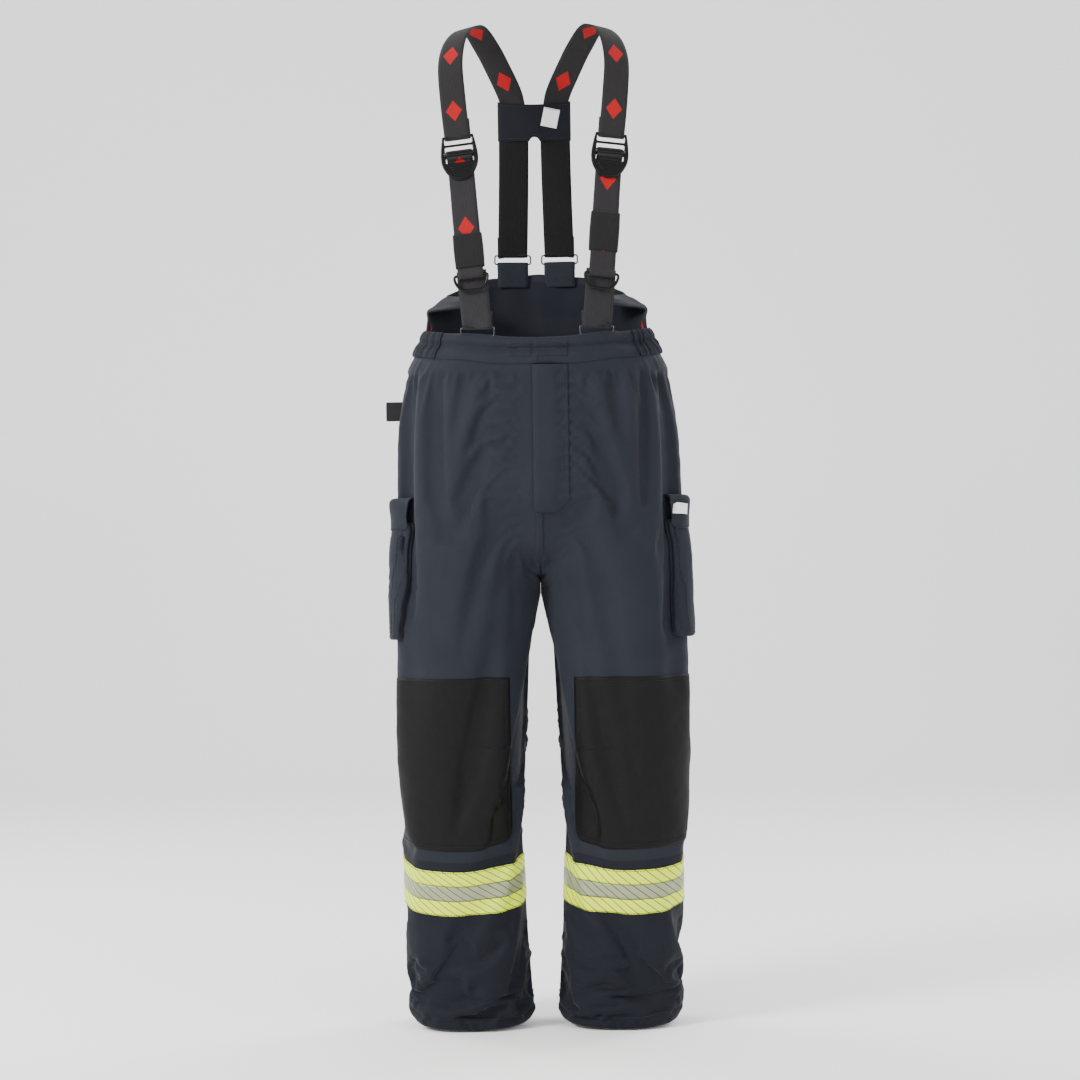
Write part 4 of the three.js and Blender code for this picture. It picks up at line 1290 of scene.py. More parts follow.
chain_low, chain_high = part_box("zip_chain")
ZIP_X = (chain_low.x + chain_high.x) / 2
heights = np.arange(chain_low.z + 0.002, chain_high.z - 0.001, 0.0032)
centres, frames = [], []
for k, z in enumerate(heights):
    at = np.array(from_front(ZIP_X, z, 0.0014))
    out_way = np.array(from_front(ZIP_X, z, 0.0114)) - at
    out_way /= np.linalg.norm(out_way)
    right_way = np.array([1.0, 0, 0])
    centres.append(at + right_way * (0.0006 if k % 2 else -0.0006))
    frames.append(np.array([right_way, np.cross(out_way, right_way), out_way]))
teeth = blocks("zip_teeth", centres, frames, (0.0042, 0.0021, 0.0016), moulding)
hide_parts("zip_chain")
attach(teeth, "root")
print("zip teeth", len(heights))


# %% Waist tab
TAB_LIFT = 0.0027
HINGE_GAP = 0.004  # room at the end of the base for the tab to fold over


def tab_sheet(name, node_name, body, rounded_end):
    low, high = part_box(node_name)
    rows, cols = 16, 44
    grid = np.zeros((rows, cols, 3))
    middle, tall = (low.z + high.z) / 2, (high.z - low.z) / 2
    for j, s in enumerate(np.linspace(0, 1, cols)):
        first = low.x if rounded_end else low.x + HINGE_GAP
        x = first + (high.x - first) * s
        near = (x - low.x) / 0.008
        rounded = 0.008 * (1 - math.sqrt(max(0, 1 - (1 - near) ** 2)))
        reach = tall - (rounded if rounded_end and near < 1 else 0)
        for i, t in enumerate(np.linspace(-1, 1, rows)):
            z = middle - reach * t
            rim = max(abs(t), abs(2 * s - 1) if rounded_end else abs(t))
            grid[i, j] = from_front(x, z, TAB_LIFT - 0.0008 * rim ** 8)
    grid = smoothed(grid, 4, 1)
    made = cloth_piece(name, grid, (0, 0, -0.52), 0.001, shell_twill)
    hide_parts(node_name)
    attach(made, body)
    n = outward(grid, (0, 0, -0.52))
    lines = [(grid[r], n[r]) for r in (2, -3)] + [(grid[2:-2, c], n[2:-2, c]) for c in (3, -4)]
    stitched(f"{name}_stitching", lines, body)
    return grid


tab_sheet("closing_tab", "waist_tab", "waist_tab", True)
tab_sheet("tab_base", "waist_tab_base", "root", False)
print("front closed")

# %% [markdown]
# ## Middle seams
# The two halves are joined by one seam, which runs from under the fly, through the crotch and up the seat.
# A narrow lapped strip with stitching on both sides of the join covers it, as a felled seam does.


# %% Crotch and seat seam
def seam_line(column, first, last):
    """Points of the middle seam on the front (column 0) or the back (column -1), top first."""
    rows = range(first, last)
    return [
        (shells["left"][r, column] + shells["right"][r, column]) / 2
        for r in rows if abs(shells["left"][r, column, 0]) < 0.0015
    ]


front_part = seam_line(0, int(row_at(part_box("fly_flap")[0].z + 0.012)), 240)
seat_part = seam_line(-1, 2, 240)
middle = np.array(front_part + seat_part[::-1])
middle[:, 0] = 0
middle = spread(middle, 220)
middle = smoothed(middle, 6, 0)
along = np.gradient(middle, axis=0)
seam_normal = np.cross(np.array([1.0, 0, 0]), along)
seam_normal /= np.linalg.norm(seam_normal, axis=1, keepdims=True)
if (seam_normal * (middle - np.array([0, 0, -0.7]))).sum() < 0:
    seam_normal = -seam_normal
widths = np.linspace(-0.0055, 0.0055, 9)
lap = middle[:, None] + widths[None, :, None] * np.array([1.0, 0, 0])
crown = 0.0013 - 0.0011 * np.abs(np.linspace(-1, 1, 9)) ** 4
lap = lap + seam_normal[:, None] * crown[None, :, None]
middle_seam = cloth_piece("middle_seam", lap, (0, 0, -0.7), 0.0022, shell_twill)
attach(middle_seam, "root")
stitched("middle_seam_stitching", [(lap[:, k], seam_normal) for k in (2, 6)], "root")
print("middle seam", round(float(running_length(lap, 0)[-1, 4]), 3), "m")

# %% [markdown]
# ## Cargo pockets
# A bellows pocket sits on each outer thigh: a flat face on three pleated sides, so that it can swell. It is
# a stack of rounded outlines on the thigh, each at its own height, first up the pleats and then in across
# the face. The flap is a separate cloth, hinged along its top seam.


# %% Pocket shape
def rounded_outline(y0, y1, z0, z1, corner, inset, per_side=26):
    y0, y1, z0, z1 = y0 + inset, y1 - inset, z0 + inset, z1 - inset
    corner = max(corner - inset * 0.4, 0.002)
    corner = min(corner, (y1 - y0) / 2.05, (z1 - z0) / 2.05)
    centres = [(y1 - corner, z1 - corner, 0), (y0 + corner, z1 - corner, 1),
               (y0 + corner, z0 + corner, 2), (y1 - corner, z0 + corner, 3)]
    arcs = [[(cy + corner * math.cos((quarter + f / 6) * math.pi / 2),
              cz + corner * math.sin((quarter + f / 6) * math.pi / 2)) for f in range(7)]
            for cy, cz, quarter in centres]
    outline = []
    for k, arc in enumerate(arcs):
        a, b = np.array(arc[-1]), np.array(arcs[(k + 1) % 4][0])
        outline += arc + [tuple(a + (b - a) * i / per_side) for i in range(1, per_side)]
    return outline


def loft(name, rings, material, closed=False, uv=None):
    """A closed skin through a row of loops of points."""
    rings = np.asarray(rings, float)
    count, size = rings.shape[:2]
    index = np.arange(count * size).reshape(count, size)
    wrapped = np.concatenate([index, index[:, :1]], axis=1)
    if closed:
        wrapped = np.concatenate([wrapped, wrapped[:1]])
    faces = quads(wrapped).tolist()
    if not closed:
        faces += [index[0][::-1].tolist(), index[-1].tolist()]
    flat = rings.reshape(-1, 3)
    corners = [(f[0], f[i], f[i + 1]) for f in faces for i in range(1, len(f) - 1)]
    volume = sum(np.dot(flat[a], np.cross(flat[b], flat[c])) for a, b, c in corners)
    if volume < 0:
        faces = [f[::-1] for f in faces]
    if uv is None:
        around = running_length(rings, 1)
        length = running_length(rings, 0)
        uv = np.stack([around, length], axis=2)
    return mesh_object(name, flat, faces, uv.reshape(-1, 2), material)


BELLOWS = [(0.0, 0.0004), (-0.0008, 0.002), (-0.0004, 0.004), (0.0022, 0.0055), (0.002, 0.0065),
           (-0.0004, 0.0078), (-0.0003, 0.0096), (0.0008, 0.0112), (0.003, 0.012), (0.007, 0.0122),
           (0.0085, 0.0119), (0.011, 0.0122), (0.018, 0.0126), (0.026, 0.0128), (0.035, 0.0128),
           (0.045, 0.0126), (0.055, 0.0124), (0.065, 0.0123)]
POCKET_CLOTH = 0.0013


def pocket_ring(sign, low, high, inset, lift, seed):
    points = []
    for y, z in rounded_outline(low.y, high.y, low.z, high.z, 0.007, inset):
        sag = 0.0011 * noise.noise(Vector((y * 30, z * 26, seed))) if lift > 0.003 else 0
        points.append(from_side(sign, y, z, lift + sag))
    return points


for side, sign in SIDES.items():
    low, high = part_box(f"pocket_{side}")
    outer = [pocket_ring(sign, low, high, inset, lift, sign) for inset, lift in BELLOWS]
    inner = [pocket_ring(sign, low, high, inset + POCKET_CLOTH * (0.4 if lift > 0.011 else 1),
                         max(lift - POCKET_CLOTH, 0.0003), sign) for inset, lift in BELLOWS]
    bag = loft(f"pocket_bag_{side}", outer[::-1] + inner[1:], shell_twill)
    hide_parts(f"pocket_{side}")
    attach(bag, "root")
    face = pocket_ring(sign, low, high, 0.0095, 0.0121, sign)
    above = pocket_ring(sign, low, high, 0.0095, 0.0141, sign)
    ring_normal = [np.array(b) - np.array(a) for a, b in zip(face, above)]
    lines = []
    for inset in (0.0045, 0.0105):
        row = pocket_ring(sign, low, high, inset, 0.0126, sign)
        lines.append((row + row[:1], ring_normal + ring_normal[:1]))
    stitched(f"pocket_stitching_{side}", lines, "root")
    print(bag.name, "stands out", round(high.x if sign > 0 else -low.x, 3))

# %% Pocket flaps
# (lift off the thigh, height below the top seam) down the flap, from the seam to its free edge
FLAP_PROFILE = [(0.0006, 0.0), (0.004, 0.0002), (0.0085, 0.0012), (0.0122, 0.0035), (0.0142, 0.008),
                (0.0146, 0.014), (0.0147, 0.022), (0.0147, 0.03), (0.0146, 0.038), (0.0145, 0.045),
                (0.0143, 0.049), (0.014, 0.052)]


def flap_sheet(sign, y0, y1, top, cols=44):
    profile = finer(np.array(FLAP_PROFILE)[:, None], 0, 3)[:, 0]
    grid = np.zeros((len(profile), cols, 3))
    for i, (lift, drop) in enumerate(profile):
        near = np.clip((drop - 0.04) / 0.012, 0, 1)
        take_in = 0.012 * (1 - math.sqrt(max(0.0, 1 - near ** 2)))
        for j, s in enumerate(np.linspace(0, 1, cols)):
            y = y0 + take_in + (y1 - y0 - 2 * take_in) * s
            edge = math.exp(-min(s, 1 - s) * 45)
            pinch = 0.0009 * edge * min(1, lift / 0.01)
            grid[i, j] = from_side(sign, y, top - drop, lift - pinch)
    return grid


for side, sign in SIDES.items():
    low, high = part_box(f"pocket_flap_{side}")
    grid = smoothed(flap_sheet(sign, low.y, high.y, high.z), 2, 1)
    flap = cloth_piece(f"flap_{side}", grid, (0, 0, high.z), 0.0017, shell_twill)
    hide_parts(f"pocket_flap_{side}")
    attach(flap, f"pocket_flap_{side}")
    n = outward(grid, (0, 0, high.z))
    lines = [(grid[-4, 3:-3], n[-4, 3:-3]), (grid[9:-3, 2], n[9:-3, 2]), (grid[9:-3, -3], n[9:-3, -3]),
             (grid[11], n[11])]
    stitched(f"flap_stitching_{side}", lines, f"pocket_flap_{side}")
    if side == "left":
        label_low, label_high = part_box("pocket_label")
        rows_of_label = np.linspace(label_high.z, label_low.z, 8)
        label = np.array([[from_side(sign, y, z, 0.0156) for y in np.linspace(label_low.y, label_high.y, 8)]
                          for z in rows_of_label])
        label_piece = cloth_piece("flap_label", label, (0, 0, high.z), 0.0006, satin)
        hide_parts("pocket_label")
        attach(label_piece, "pocket_flap_left")
print("flaps hang", FLAP_PROFILE[-1][1], "m")

# %% [markdown]
# ## Straps
# Webbing is woven flat, so a strap is a ribbon: it bends along its length, turns its face, but never
# widens. Each strap follows a few stations, every one a point and the direction across the strap there.
# A smooth curve through them carries a section with thin selvedges.


# %% Ribbons
def along_curve(points, times):
    return finer(np.asarray(points, float)[:, None], 0, times)[:, 0]


def strap(name, stations, width, thickness, material, times=4):
    points = along_curve([at for at, _ in stations], times)
    across = along_curve([way for _, way in stations], times)
    way = np.gradient(points, axis=0)
    way /= np.maximum(np.linalg.norm(way, axis=1, keepdims=True), 1e-9)
    across = across - way * (across * way).sum(axis=1, keepdims=True)
    across /= np.linalg.norm(across, axis=1, keepdims=True)
    up = np.cross(way, across)
    u = np.concatenate([np.linspace(-1, 1, 9), np.linspace(1, -1, 9)])
    face = np.concatenate([np.ones(9), -np.ones(9)])
    half = face * (thickness / 2) * (1 - 0.55 * np.abs(u) ** 8)
    aside = across[:, None] * (u * width / 2)[None, :, None]
    rings = points[:, None] + aside + up[:, None] * half[None, :, None]
    length = np.insert(np.cumsum(np.linalg.norm(np.diff(points, axis=0), axis=1)), 0, 0)
    uv = np.stack(np.broadcast_arrays((u * width / 2)[None, :], length[:, None]), axis=2)
    obj = loft(name, rings, material, uv=uv)
    print(name, round(float(length[-1]), 3), "m long")
    return obj


def strap_frame(at, up, facing):
    """A frame whose X runs across a strap, Y up along it and Z out of its face."""
    y = up.normalized()
    z = (facing - y * facing.dot(y)).normalized()
    x = y.cross(z)
    return Matrix(((x.x, y.x, z.x, at.x), (x.y, y.y, z.y, at.y), (x.z, y.z, z.z, at.z), (0, 0, 0, 1)))


def fold(bar, down, facing, radius, tail):
    """Stations down the front of a bar, under it and up its back, in a strap frame."""
    across = down.cross(facing).normalized()
    turns = [i * math.pi / 12 for i in range(13)]
    arc = [(bar + facing * radius * math.cos(a) + down * radius * math.sin(a), across) for a in turns]
    behind = bar - facing * radius
    return [*arc, (behind - down * tail * 0.5, across), (behind - down * tail, across)]


def carried(stations, matrix):
    turn = matrix.to_3x3()
    return [(matrix @ at, turn @ across) for at, across in stations]


UP, DOWN, OUT = Vector((0, 1, 0)), Vector((0, -1, 0)), Vector((0, 0, 1))
WEBBING, WEB_THICK, TAB_WEBBING, ELASTIC, ELASTIC_THICK = 0.040, 0.0018, 0.046, 0.048, 0.002
BUCKLE_FOLD, RING_FOLD, WIRE = 0.00445, 0.0046, 0.0013
WIRE_FOLD = WIRE + 0.00035 + WEB_THICK / 2
FRONT_FRAMES, STRAP_RUN = {}, 0.0
for side, sign in SIDES.items():
    bar = Vector(joints[f"buckle_{side}_tilt"]["pos_m"])
    ring_at = Vector(joints[f"d_ring_{side}_swing"]["pos_m"])
    FRONT_FRAMES[side] = strap_frame(bar, bar - ring_at, Vector((sign * 0.12, -1, 0)))
    STRAP_RUN = (bar - ring_at).length
print("buckle to ring", round(STRAP_RUN, 4))

# %% Shoulder straps
# Where a strap runs above its buckle, with the way that its face looks, on the wearer's left.
SHOULDER_RUN = [
    ((0.1256, -0.077, -0.122), (0.1, -1, 0.25)), ((0.1286, -0.057, -0.063), (0.3, -1, 0.5)),
    ((0.118, -0.029, -0.019), (0.45, -0.6, 1)), ((0.096, 0.0, -0.001), (0.15, 0, 1)),
    ((0.074, 0.032, -0.025), (0, 0.8, 0.8)), ((0.055, 0.057, -0.058), (0, 1, 0.6)),
    ((0.04, 0.075, -0.088), (0, 1, 0.3)), ((0.035, 0.0815, -0.106), (0, 1, 0.1)),
    ((0.033, 0.083, -0.124), (0, 1, 0.08)),
]


def mirrored(sign, point):
    return Vector((sign * point[0], point[1], point[2]))


def shoulder_stations(side, sign):
    wrap = carried(fold(Vector((0, 0, 0)), DOWN, OUT, BUCKLE_FOLD, 0.028), FRONT_FRAMES[side])[::-1]
    points = np.array([wrap[-1][0], *[mirrored(sign, p) for p, _ in SHOULDER_RUN]])
    looks = np.array([FRONT_FRAMES[side].to_3x3() @ OUT, *[mirrored(sign, f) for _, f in SHOULDER_RUN]])
    route, faces = along_curve(points, 4), along_curve(looks, 4)
    way = np.gradient(route, axis=0)
    across = np.cross(faces, way)
    run = [(Vector(p), Vector(a).normalized()) for p, a in zip(route[1:], across[1:])]
    return wrap + run


for side, sign in SIDES.items():
    route = shoulder_stations(side, sign)
    piece = strap(f"front_strap_{side}", route, WEBBING, WEB_THICK, strap_weave, 3)
    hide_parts(f"shoulder_strap_{side}")
    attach(piece, "root")


# %% Lower straps, through the buckle and round the D-ring
KEEPER_Y = {"left": (-0.182, -0.122), "right": (-0.205, -0.153)}
WEAVE = [
    (-6, None), (-6, -120), (-6, -80), (-5.9, -37), (-3.6, -27), (-2.4, -22.8), (-0.6, -21.6), (1.6, -22.2),
    (3.4, -24), (3.6, -27.5), (3.5, -31.5), (1.6, -34.2), (-0.4, -34.6), (-1.6, -34.6), (-3.3, -38),
    (-3.3, -55), (-3.3, -72), (-3.1, -90), (-1.5, -105), (0, -120),
]


def lower_stations(side):
    tail = KEEPER_Y[side][0] + 0.008
    across = Vector((1, 0, 0))
    weave = [(Vector((0, tail if y is None else y * MM, z * MM)), across) for z, y in WEAVE]
    if tail > -0.13:
        weave.pop(1)
    weave += [(Vector((0, y, 0)), across) for y in np.linspace(-0.14, -STRAP_RUN + 0.01, 8)]
    ring_fold = [(at, across) for at, _ in fold(Vector((0, -STRAP_RUN, 0)), DOWN, OUT, RING_FOLD, 0.008)]
    return carried(weave + ring_fold, FRONT_FRAMES[side])


for side in SIDES:
    route = lower_stations(side)
    piece = strap(f"adjusting_strap_{side}", route, WEBBING, WEB_THICK, lower_weave, 3)
    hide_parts(f"lower_strap_{side}")
    start = FRONT_FRAMES[side] @ Vector((0, -0.148, 0))
    end = FRONT_FRAMES[side] @ Vector((0, -0.04, 0))
    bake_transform(piece)


# %% Elastic keepers
def sleeve_loop(width, depth, y, corner, middle, count=9):
    loop = []
    for sx, sz, quarter in ((1, 1, 0), (-1, 1, 1), (-1, -1, 2), (1, -1, 3)):
        for i in range(count):
            turn = (quarter + i / (count - 1)) * math.pi / 2
            loop.append(Vector((sx * (width / 2 - corner) + corner * math.cos(turn), y,
                                middle + sz * (depth / 2 - corner) + corner * math.sin(turn))))
    return loop


for side in SIDES:
    low, high = KEEPER_Y[side]
    levels = np.linspace(low, high, 25)
    bulge = 0.0006 * np.sin(np.linspace(0, np.pi, 25))
    outer = [sleeve_loop(0.0445 + 2 * b, 0.0112 + 2 * b, y, 0.0035, -0.0029) for y, b in zip(levels, bulge)]
    inner = [sleeve_loop(0.0418, 0.0087, y, 0.0025, -0.0029) for y in levels[::-1]]
    rings = [[FRONT_FRAMES[side] @ p for p in loop] for loop in outer + inner]
    keeper = loft(f"elastic_keeper_{side}", rings, keeper_weave, closed=True)
    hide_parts(f"keeper_{side}")
    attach(keeper, "root")

# %% [markdown]
# ## Buckles, D-rings and wire
# The buckles and rings are moulded nylon. A filled curve with holes, a little depth and a rounded edge
# makes a moulded plate in a few lines. Rings and wire loops are round bars, swept along a closed path.


# %% Moulded plates
def plate(name, outline, holes, depth, edge, matrix, material):
    """A plate in a strap frame: an outline with holes, thick by depth and with rounded edges."""
    curve = bpy.data.curves.new(name, "CURVE")
    curve.dimensions = "2D"
    curve.fill_mode = "BOTH"
    curve.extrude = depth / 2 - edge
    curve.bevel_depth = edge
    curve.bevel_resolution = 3
    curve.offset = -edge
    for line in (outline, *holes):
        spline = curve.splines.new("POLY")
        spline.points.add(len(line) - 1)
        for point, (x, y) in zip(spline.points, line):
            point.co = (x, y, 0, 1)
        spline.use_cyclic_u = True
    holder = link(bpy.data.objects.new(f"{name}_curve", curve))
    bpy.context.view_layer.update()
    mesh = bpy.data.meshes.new_from_object(holder.evaluated_get(bpy.context.evaluated_depsgraph_get()))
    bpy.data.objects.remove(holder)
    mesh.transform(matrix)
    mesh.materials.clear()
    mesh.materials.append(material)
    mesh.name = name
    made = link(bpy.data.objects.new(name, mesh))
    for polygon in mesh.polygons:
        polygon.use_smooth = len(polygon.vertices) == 4
    return made


def bow(start, control, end, steps=10):
    """Points of a quadratic curve, its start left out."""
    s, c, e = (np.array(p, float) for p in (start, control, end))
    shares = np.linspace(0, 1, steps + 1)[1:]
    return [tuple((1 - t) ** 2 * s + 2 * t * (1 - t) * c + t * t * e) for t in shares]


def rounded_slot(low, high, half=21.5, corner=1.6):
    loop = []
    for sx, y, quarter in ((1, high, 0), (-1, high, 1), (-1, low, 2), (1, low, 3)):
        for i in range(5):
            turn = (quarter + i / 4) * math.pi / 2
            inside = y - corner if y == high else y + corner
            loop.append(((sx * (half - corner) + corner * math.cos(turn)), inside + corner * math.sin(turn)))
    return loop


def in_metres(points):
    return [(x * MM, y * MM) for x, y in points]


BUCKLE_OUTLINE = [
    (-24, 2), *bow((-24, 2), (-27.5, -12), (-29, -28)), *bow((-29, -28), (-29.5, -36), (-28, -43)),
    *bow((-28, -43), (-20, -68), (0, -68), 14), *bow((0, -68), (20, -68), (28, -43), 14),
    *bow((28, -43), (29.5, -36), (29, -28)), *bow((29, -28), (27.5, -12), (24, 2)),
]
SLOTS = [(-11.5, -2), (-24, -15), (-40.5, -32.5)]


def swept(name, path, radius, material, closed=True, sides=12):
    """A round bar along a path of points."""
    path = np.asarray(path, float)
    if closed:
        way = np.roll(path, -1, axis=0) - np.roll(path, 1, axis=0)
    else:
        way = np.gradient(path, axis=0)
    way /= np.linalg.norm(way, axis=1, keepdims=True)
    flat = np.cross(path[len(path) // 3] - path[0], path[2 * len(path) // 3] - path[0])
    flat /= np.linalg.norm(flat)
    aside = np.cross(way, flat)
    aside /= np.linalg.norm(aside, axis=1, keepdims=True)
    turn = np.linspace(0, 2 * np.pi, sides, endpoint=False)
    rings = path[:, None] + radius * (
        np.cos(turn)[None, :, None] * aside[:, None] + np.sin(turn)[None, :, None] * flat[None, None]
    )
    return loft(name, rings, material, closed=closed)


for side in SIDES:
    place = FRONT_FRAMES[side]
    holes = [in_metres(rounded_slot(*s)) for s in SLOTS]
    outline = in_metres(BUCKLE_OUTLINE)
    buckle = plate(f"ladder_buckle_{side}", outline, holes, 0.004, 0.0012, place, moulding)
    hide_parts(f"buckle_{side}")
    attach(buckle, f"buckle_{side}")
    left_bow = bow((-25.5, -43), (-18, -64.5), (0, -64.5), 14)
    right_bow = bow((0, -64.5), (18, -64.5), (25.5, -43), 14)
    lip_line = [(-25.5, -43), *left_bow, *right_bow]
    lip = [place @ Vector((x * MM, y * MM, 0.0018)) for x, y in lip_line]
    rim = swept(f"buckle_rim_{side}", lip, 0.0014, moulding, closed=False)
    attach(rim, f"buckle_{side}")
    for k, y in enumerate((-47, -51, -55)):
        half = 17 - 2.5 * k
        grip = [place @ Vector((x * MM, y * MM, 0.0018)) for x in np.linspace(-half, half, 9)]
        grip[4] = grip[4] + (place.to_3x3() @ OUT) * 1e-6
        turned = place.to_3x3()
        loops = [[p + turned @ Vector((0, 0.001 * math.cos(a), 0.0011 * math.sin(a)))
                  for a in np.linspace(0, 2 * np.pi, 10, endpoint=False)] for p in grip]
        bar_piece = loft(f"buckle_grip_{side}_{k}", loops, moulding)
        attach(bar_piece, f"buckle_{side}")

for side in SIDES:
    place = FRONT_FRAMES[side]
    crest = [(x, 5.0) for x in np.linspace(-17, 17, 9)]
    ends = [(-23.4, 1.5), (-22, 3.4), (-20, 4.6), *crest, (20, 4.6), (22, 3.4), (23.4, 1.5)]
    line = [Vector((x * MM, -0.0275, z * MM)) for x, z in ends]
    loops = [[place @ (p + Vector((0, 0.0034 * math.cos(a), 0.0026 * math.sin(a))))
              for a in np.linspace(0, 2 * np.pi, 16, endpoint=False)] for p in line]
    bar_piece = loft(f"locking_bar_{side}", loops, moulding)
    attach(bar_piece, f"buckle_{side}")

# %% D-rings
RING_PATH = [(-22, 0), (-11, 0), (0, 0), (11, 0), (22, 0), *bow((22, 0), (27.5, -0.5), (25, -8), 6),
             *bow((25, -8), (23, -16), (16, -22), 6),
             *bow((16, -22), (13.5, -23.7), (10, -23.7), 4), (0, -23.7),
             (-10, -23.7), *bow((-10, -23.7), (-13.5, -23.7), (-16, -22), 4),
             *bow((-16, -22), (-23, -16), (-25, -8), 6),
             *bow((-25, -8), (-27.5, -0.5), (-22, 0), 6)[:-1]]
for side in SIDES:
    place = FRONT_FRAMES[side]
    path = [place @ Vector((x * MM, y * MM - STRAP_RUN, 0)) for x, y in RING_PATH]
    ring_piece = swept(f"d_bar_{side}", path, 0.0022, moulding)
    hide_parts(f"d_ring_{side}")
    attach(ring_piece, f"d_ring_{side}")


# %% Wire loops
def wire_path(width, height, corner=0.003):
    path = []
    for sx, sy, quarter in ((1, 1, 0), (-1, 1, 1), (-1, -1, 2), (1, -1, 3)):
        for i in range(6):
            turn = (quarter + i / 5) * math.pi / 2
            path.append(Vector((sx * (width / 2 - corner) + corner * math.cos(turn),
                                height / 2 + sy * (height / 2 - corner) + corner * math.sin(turn), 0)))
    return path


WAIST_WIRE = Vector((0.091, -0.1173, -0.4975))
WAIST_TURN = math.radians(16)
BACK_RING = Vector((0.038, 0.107, -0.361))
BACK_TURN = 0.092
RING_HEIGHT = 0.014
waist_frames, back_frames = {}, {}
for side, sign in SIDES.items():
    faces = Vector((sign * math.sin(WAIST_TURN), -math.cos(WAIST_TURN), 0))
    waist_frames[side] = strap_frame(mirrored(sign, WAIST_WIRE), Vector((0, 0, 1)), faces)
    inwards = Vector((-sign * math.sin(BACK_TURN), -math.cos(BACK_TURN), 0))
    back_frames[side] = strap_frame(mirrored(sign, BACK_RING), Vector((0, 0, 1)), inwards)
    for name, matrix, width, node_name in (
        (f"waist_wire_{side}", waist_frames[side], 0.053, f"wire_loop_{side}"),
        (f"back_wire_{side}", back_frames[side], 0.058, f"back_ring_{side}"),
    ):
        wire = swept(name, [matrix @ p for p in wire_path(width, RING_HEIGHT)], WIRE, coated_wire)
        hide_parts(node_name)
        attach(wire, "root")
print("wire loops at", waist_frames["left"].translation, back_frames["left"].translation)

# %% Waist webbing
for side in SIDES:
    place = FRONT_FRAMES[side]
    wrap = carried(fold(Vector((0, RING_HEIGHT, 0)), DOWN, OUT, WIRE_FOLD, 0.024), waist_frames[side])
    sewn = place @ Vector((0, 0.008 - STRAP_RUN, -0.009))
    across = -(place.to_3x3() @ Vector((1, 0, 0)))
    across = across if across.dot(wrap[0][1]) > 0 else -across
    run = [(sewn.lerp(wrap[0][0], t), across.lerp(wrap[0][1], t)) for t in np.linspace(0, 0.93, 9)]
    piece = strap(f"waist_tape_{side}", run + wrap, TAB_WEBBING, WEB_THICK, tab_weave, 3)
    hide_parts(f"waist_webbing_{side}")
    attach(piece, "root")

# %% Back elastics and their tabs
BACK_RUN = [(0.0335, 0.084, -0.136), (0.0335, 0.086, -0.16), (0.0345, 0.094, -0.226), (0.0365, 0.101, -0.306)]
for side, sign in SIDES.items():
    place = back_frames[side]
    radius = WIRE + 0.00035 + ELASTIC_THICK / 2
    under = carried(fold(Vector((0, RING_HEIGHT, 0)), DOWN, OUT, radius, 0.03), place)
    stops = [mirrored(sign, p) for p in BACK_RUN] + [under[0][0]]
    route = along_curve(stops, 4)[:-1]
    across = under[0][1]
    run = [(Vector(p), across) for p in route]
    piece = strap(f"back_band_{side}", run + under, ELASTIC, ELASTIC_THICK, elastic_weave, 3)
    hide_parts(f"back_elastic_{side}")
    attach(piece, "root")
    over = fold(Vector((0, 0, 0)), UP, OUT, WIRE_FOLD, 0.009)
    tab_stations = [(Vector((0, y, WIRE_FOLD)), over[0][1]) for y in np.linspace(-0.038, -0.003, 7)] + over
    route = carried(tab_stations, place)
    piece = strap(f"ring_tab_{side}", route, 0.05, WEB_THICK, shell_twill, 3)
    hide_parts(f"back_tab_{side}")
    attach(piece, "root")
    turned = place.to_3x3()
    lines = []
    for y in (-0.01, -0.026, -0.0345):
        row = [place @ Vector((x, y, WIRE_FOLD + WEB_THICK / 2)) for x in np.linspace(-0.022, 0.022, 12)]
        lines.append((row, [turned @ OUT] * 12))
    stitched(f"ring_tab_stitching_{side}", lines, "root")

# %% [markdown]
# ## Yoke
# The four straps meet in a navy patch between the shoulder blades. It is a flat sleeve, sewn shut over the
# strap ends, so its edges pinch in and its middle is full.

# %% Yoke sleeve
YOKE_AT = Vector((0, 0.0836, -0.1335))
YOKE_TILT = 0.08
YOKE_HALF, YOKE_RISE, YOKE_DEPTH = 0.059, 0.0315, 0.0078
yoke_turn = Matrix.Translation(YOKE_AT) @ Matrix.Rotation(YOKE_TILT, 4, "X")


def yoke_edge(x, top):
    """Height of the yoke's upper edge, hollow in the middle, or its lower one, with a notch."""
    share = x / YOKE_HALF
    if top:
        return YOKE_RISE - 0.0045 * (1 - share ** 2)
    return -YOKE_RISE + 0.007 * max(0, 1 - (x / 0.0085) ** 2) ** 0.7


def yoke_loop(level, grow):
    loop = []
    half, depth = YOKE_HALF + grow, YOKE_DEPTH / 2 + grow
    pinch = 1 - 0.32 * abs(2 * level - 1) ** 7
    xs = np.concatenate([np.linspace(-half, half, 41), np.linspace(half, -half, 41)])
    for k, x in enumerate(xs):
        front = -1 if k < 41 else 1
        end = (1 - min(1.0, abs(x) / half) ** 14) ** 0.5
        low, high = yoke_edge(x, False), yoke_edge(x, True)
        y = front * max(depth * pinch * end, 0.0004)
        loop.append(yoke_turn @ Vector((x, y, low + (high - low) * level)))
    return loop


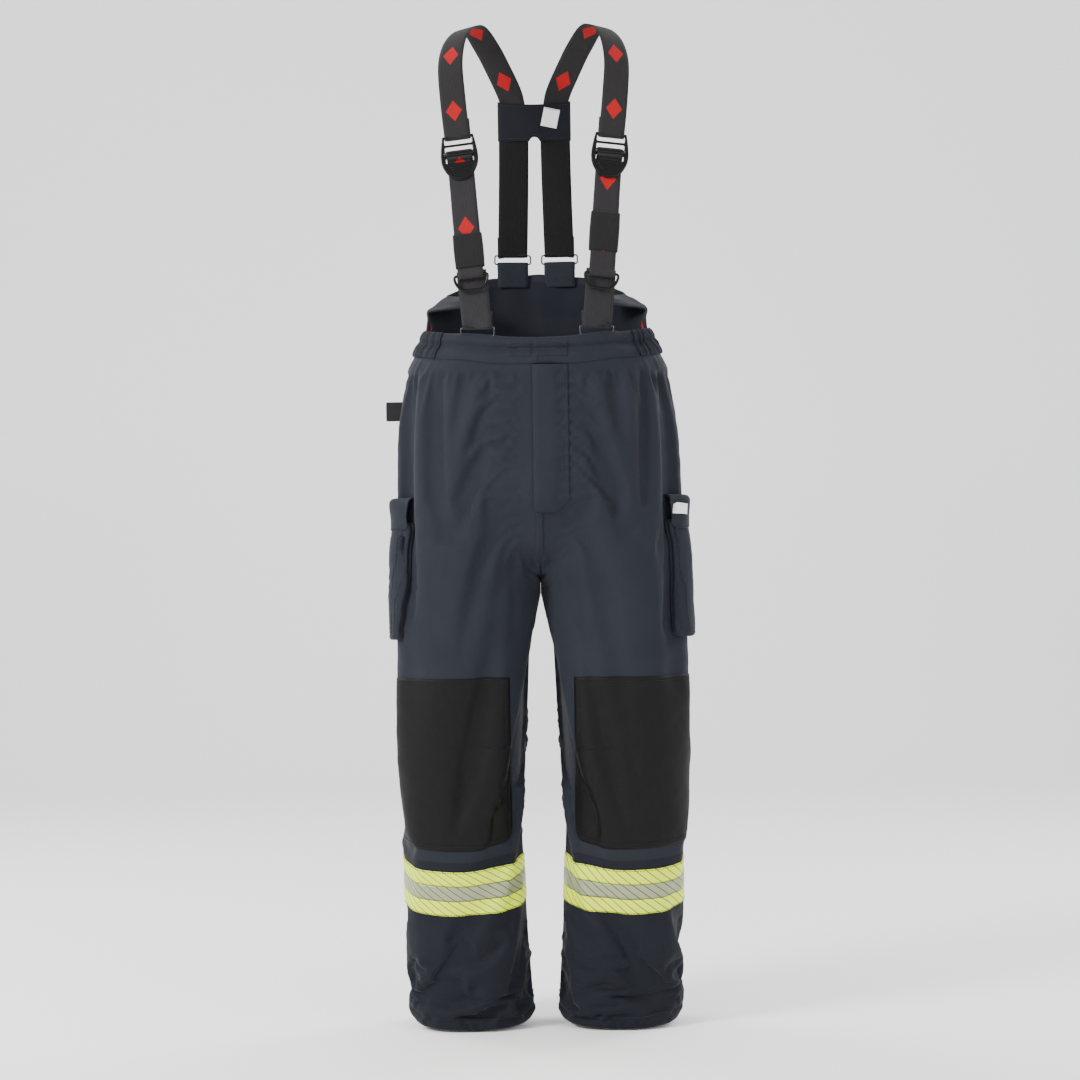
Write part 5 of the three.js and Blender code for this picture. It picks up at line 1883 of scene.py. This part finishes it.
levels = np.concatenate([[0, 0.012, 0.03], np.linspace(0.06, 0.94, 20), [0.97, 0.988, 1]])
rings = [yoke_loop(level, 0) for level in levels] + [yoke_loop(level, -0.0011) for level in levels[::-1]]
yoke = loft("yoke_patch", rings, yoke_twill, closed=True)
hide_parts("yoke")
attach(yoke, "root")
out_of_yoke = yoke_turn.to_3x3()
lines = []
for facing in (-1, 1):
    for level in (0.07, 0.93):
        row = [yoke_turn @ Vector((x, facing * YOKE_DEPTH / 2 * 0.985,
                                   yoke_edge(x, False) + (yoke_edge(x, True) - yoke_edge(x, False)) * level))
               for x in np.linspace(-0.054, 0.054, 40)]
        lines.append((row, [out_of_yoke @ Vector((0, facing, 0))] * 40))
stitched("yoke_stitching", lines, "root")

# %% Yoke label
LABEL_TURN = math.radians(12)
label_at = Matrix.Translation((0.026, -YOKE_DEPTH / 2 - 0.0006, 0.005))
label_place = yoke_turn @ label_at @ Matrix.Rotation(LABEL_TURN, 4, "Y")
label_grid = np.array([[label_place @ Vector((x, -0.0006 * (x / 0.013) ** 2 * (z / 0.015) ** 2, z))
                        for x in np.linspace(-0.013, 0.013, 12)] for z in np.linspace(0.015, -0.015, 12)])
label = cloth_piece("size_label", label_grid, YOKE_AT, 0.0006, satin)
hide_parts("yoke_label")
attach(label, "root")
row = [label_place @ Vector((x, -0.0005, 0.0135)) for x in np.linspace(-0.012, 0.012, 8)]
stitched("size_label_stitching", [(row, [out_of_yoke @ Vector((0, -1, 0))] * 8)], "root")
print("yoke", round(2 * YOKE_HALF, 3), "m wide")

# %% Hip tab
tab_low, tab_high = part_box("hip_tab")
middle_z, half_z = (tab_low.z + tab_high.z) / 2, (tab_high.z - tab_low.z) / 2
tab_y = (tab_low.y + tab_high.y) / 2
sewn_x = from_side(-1, tab_y, middle_z).x + 0.003
upright = Vector((0, 0, 1))
out_stations = [
    (Vector((x, tab_y - 0.0012, middle_z)), upright) for x in np.linspace(sewn_x, tab_low.x + 0.002, 6)
]
turn_stations = [
    (Vector((tab_low.x + 0.002 - 0.0012 * math.sin(a), tab_y - 0.0012 * math.cos(a), middle_z)), upright)
    for a in np.linspace(0.4, math.pi - 0.4, 5)
]
back_stations = [
    (Vector((x, tab_y + 0.0012, middle_z)), upright) for x in np.linspace(tab_low.x + 0.002, sewn_x, 6)
]
tab_stations = out_stations + turn_stations + back_stations
hip = strap("hip_loop", tab_stations, 2 * half_z - 0.001, 0.0014, tab_weave, 2)
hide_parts("hip_tab")
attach(hip, "root")
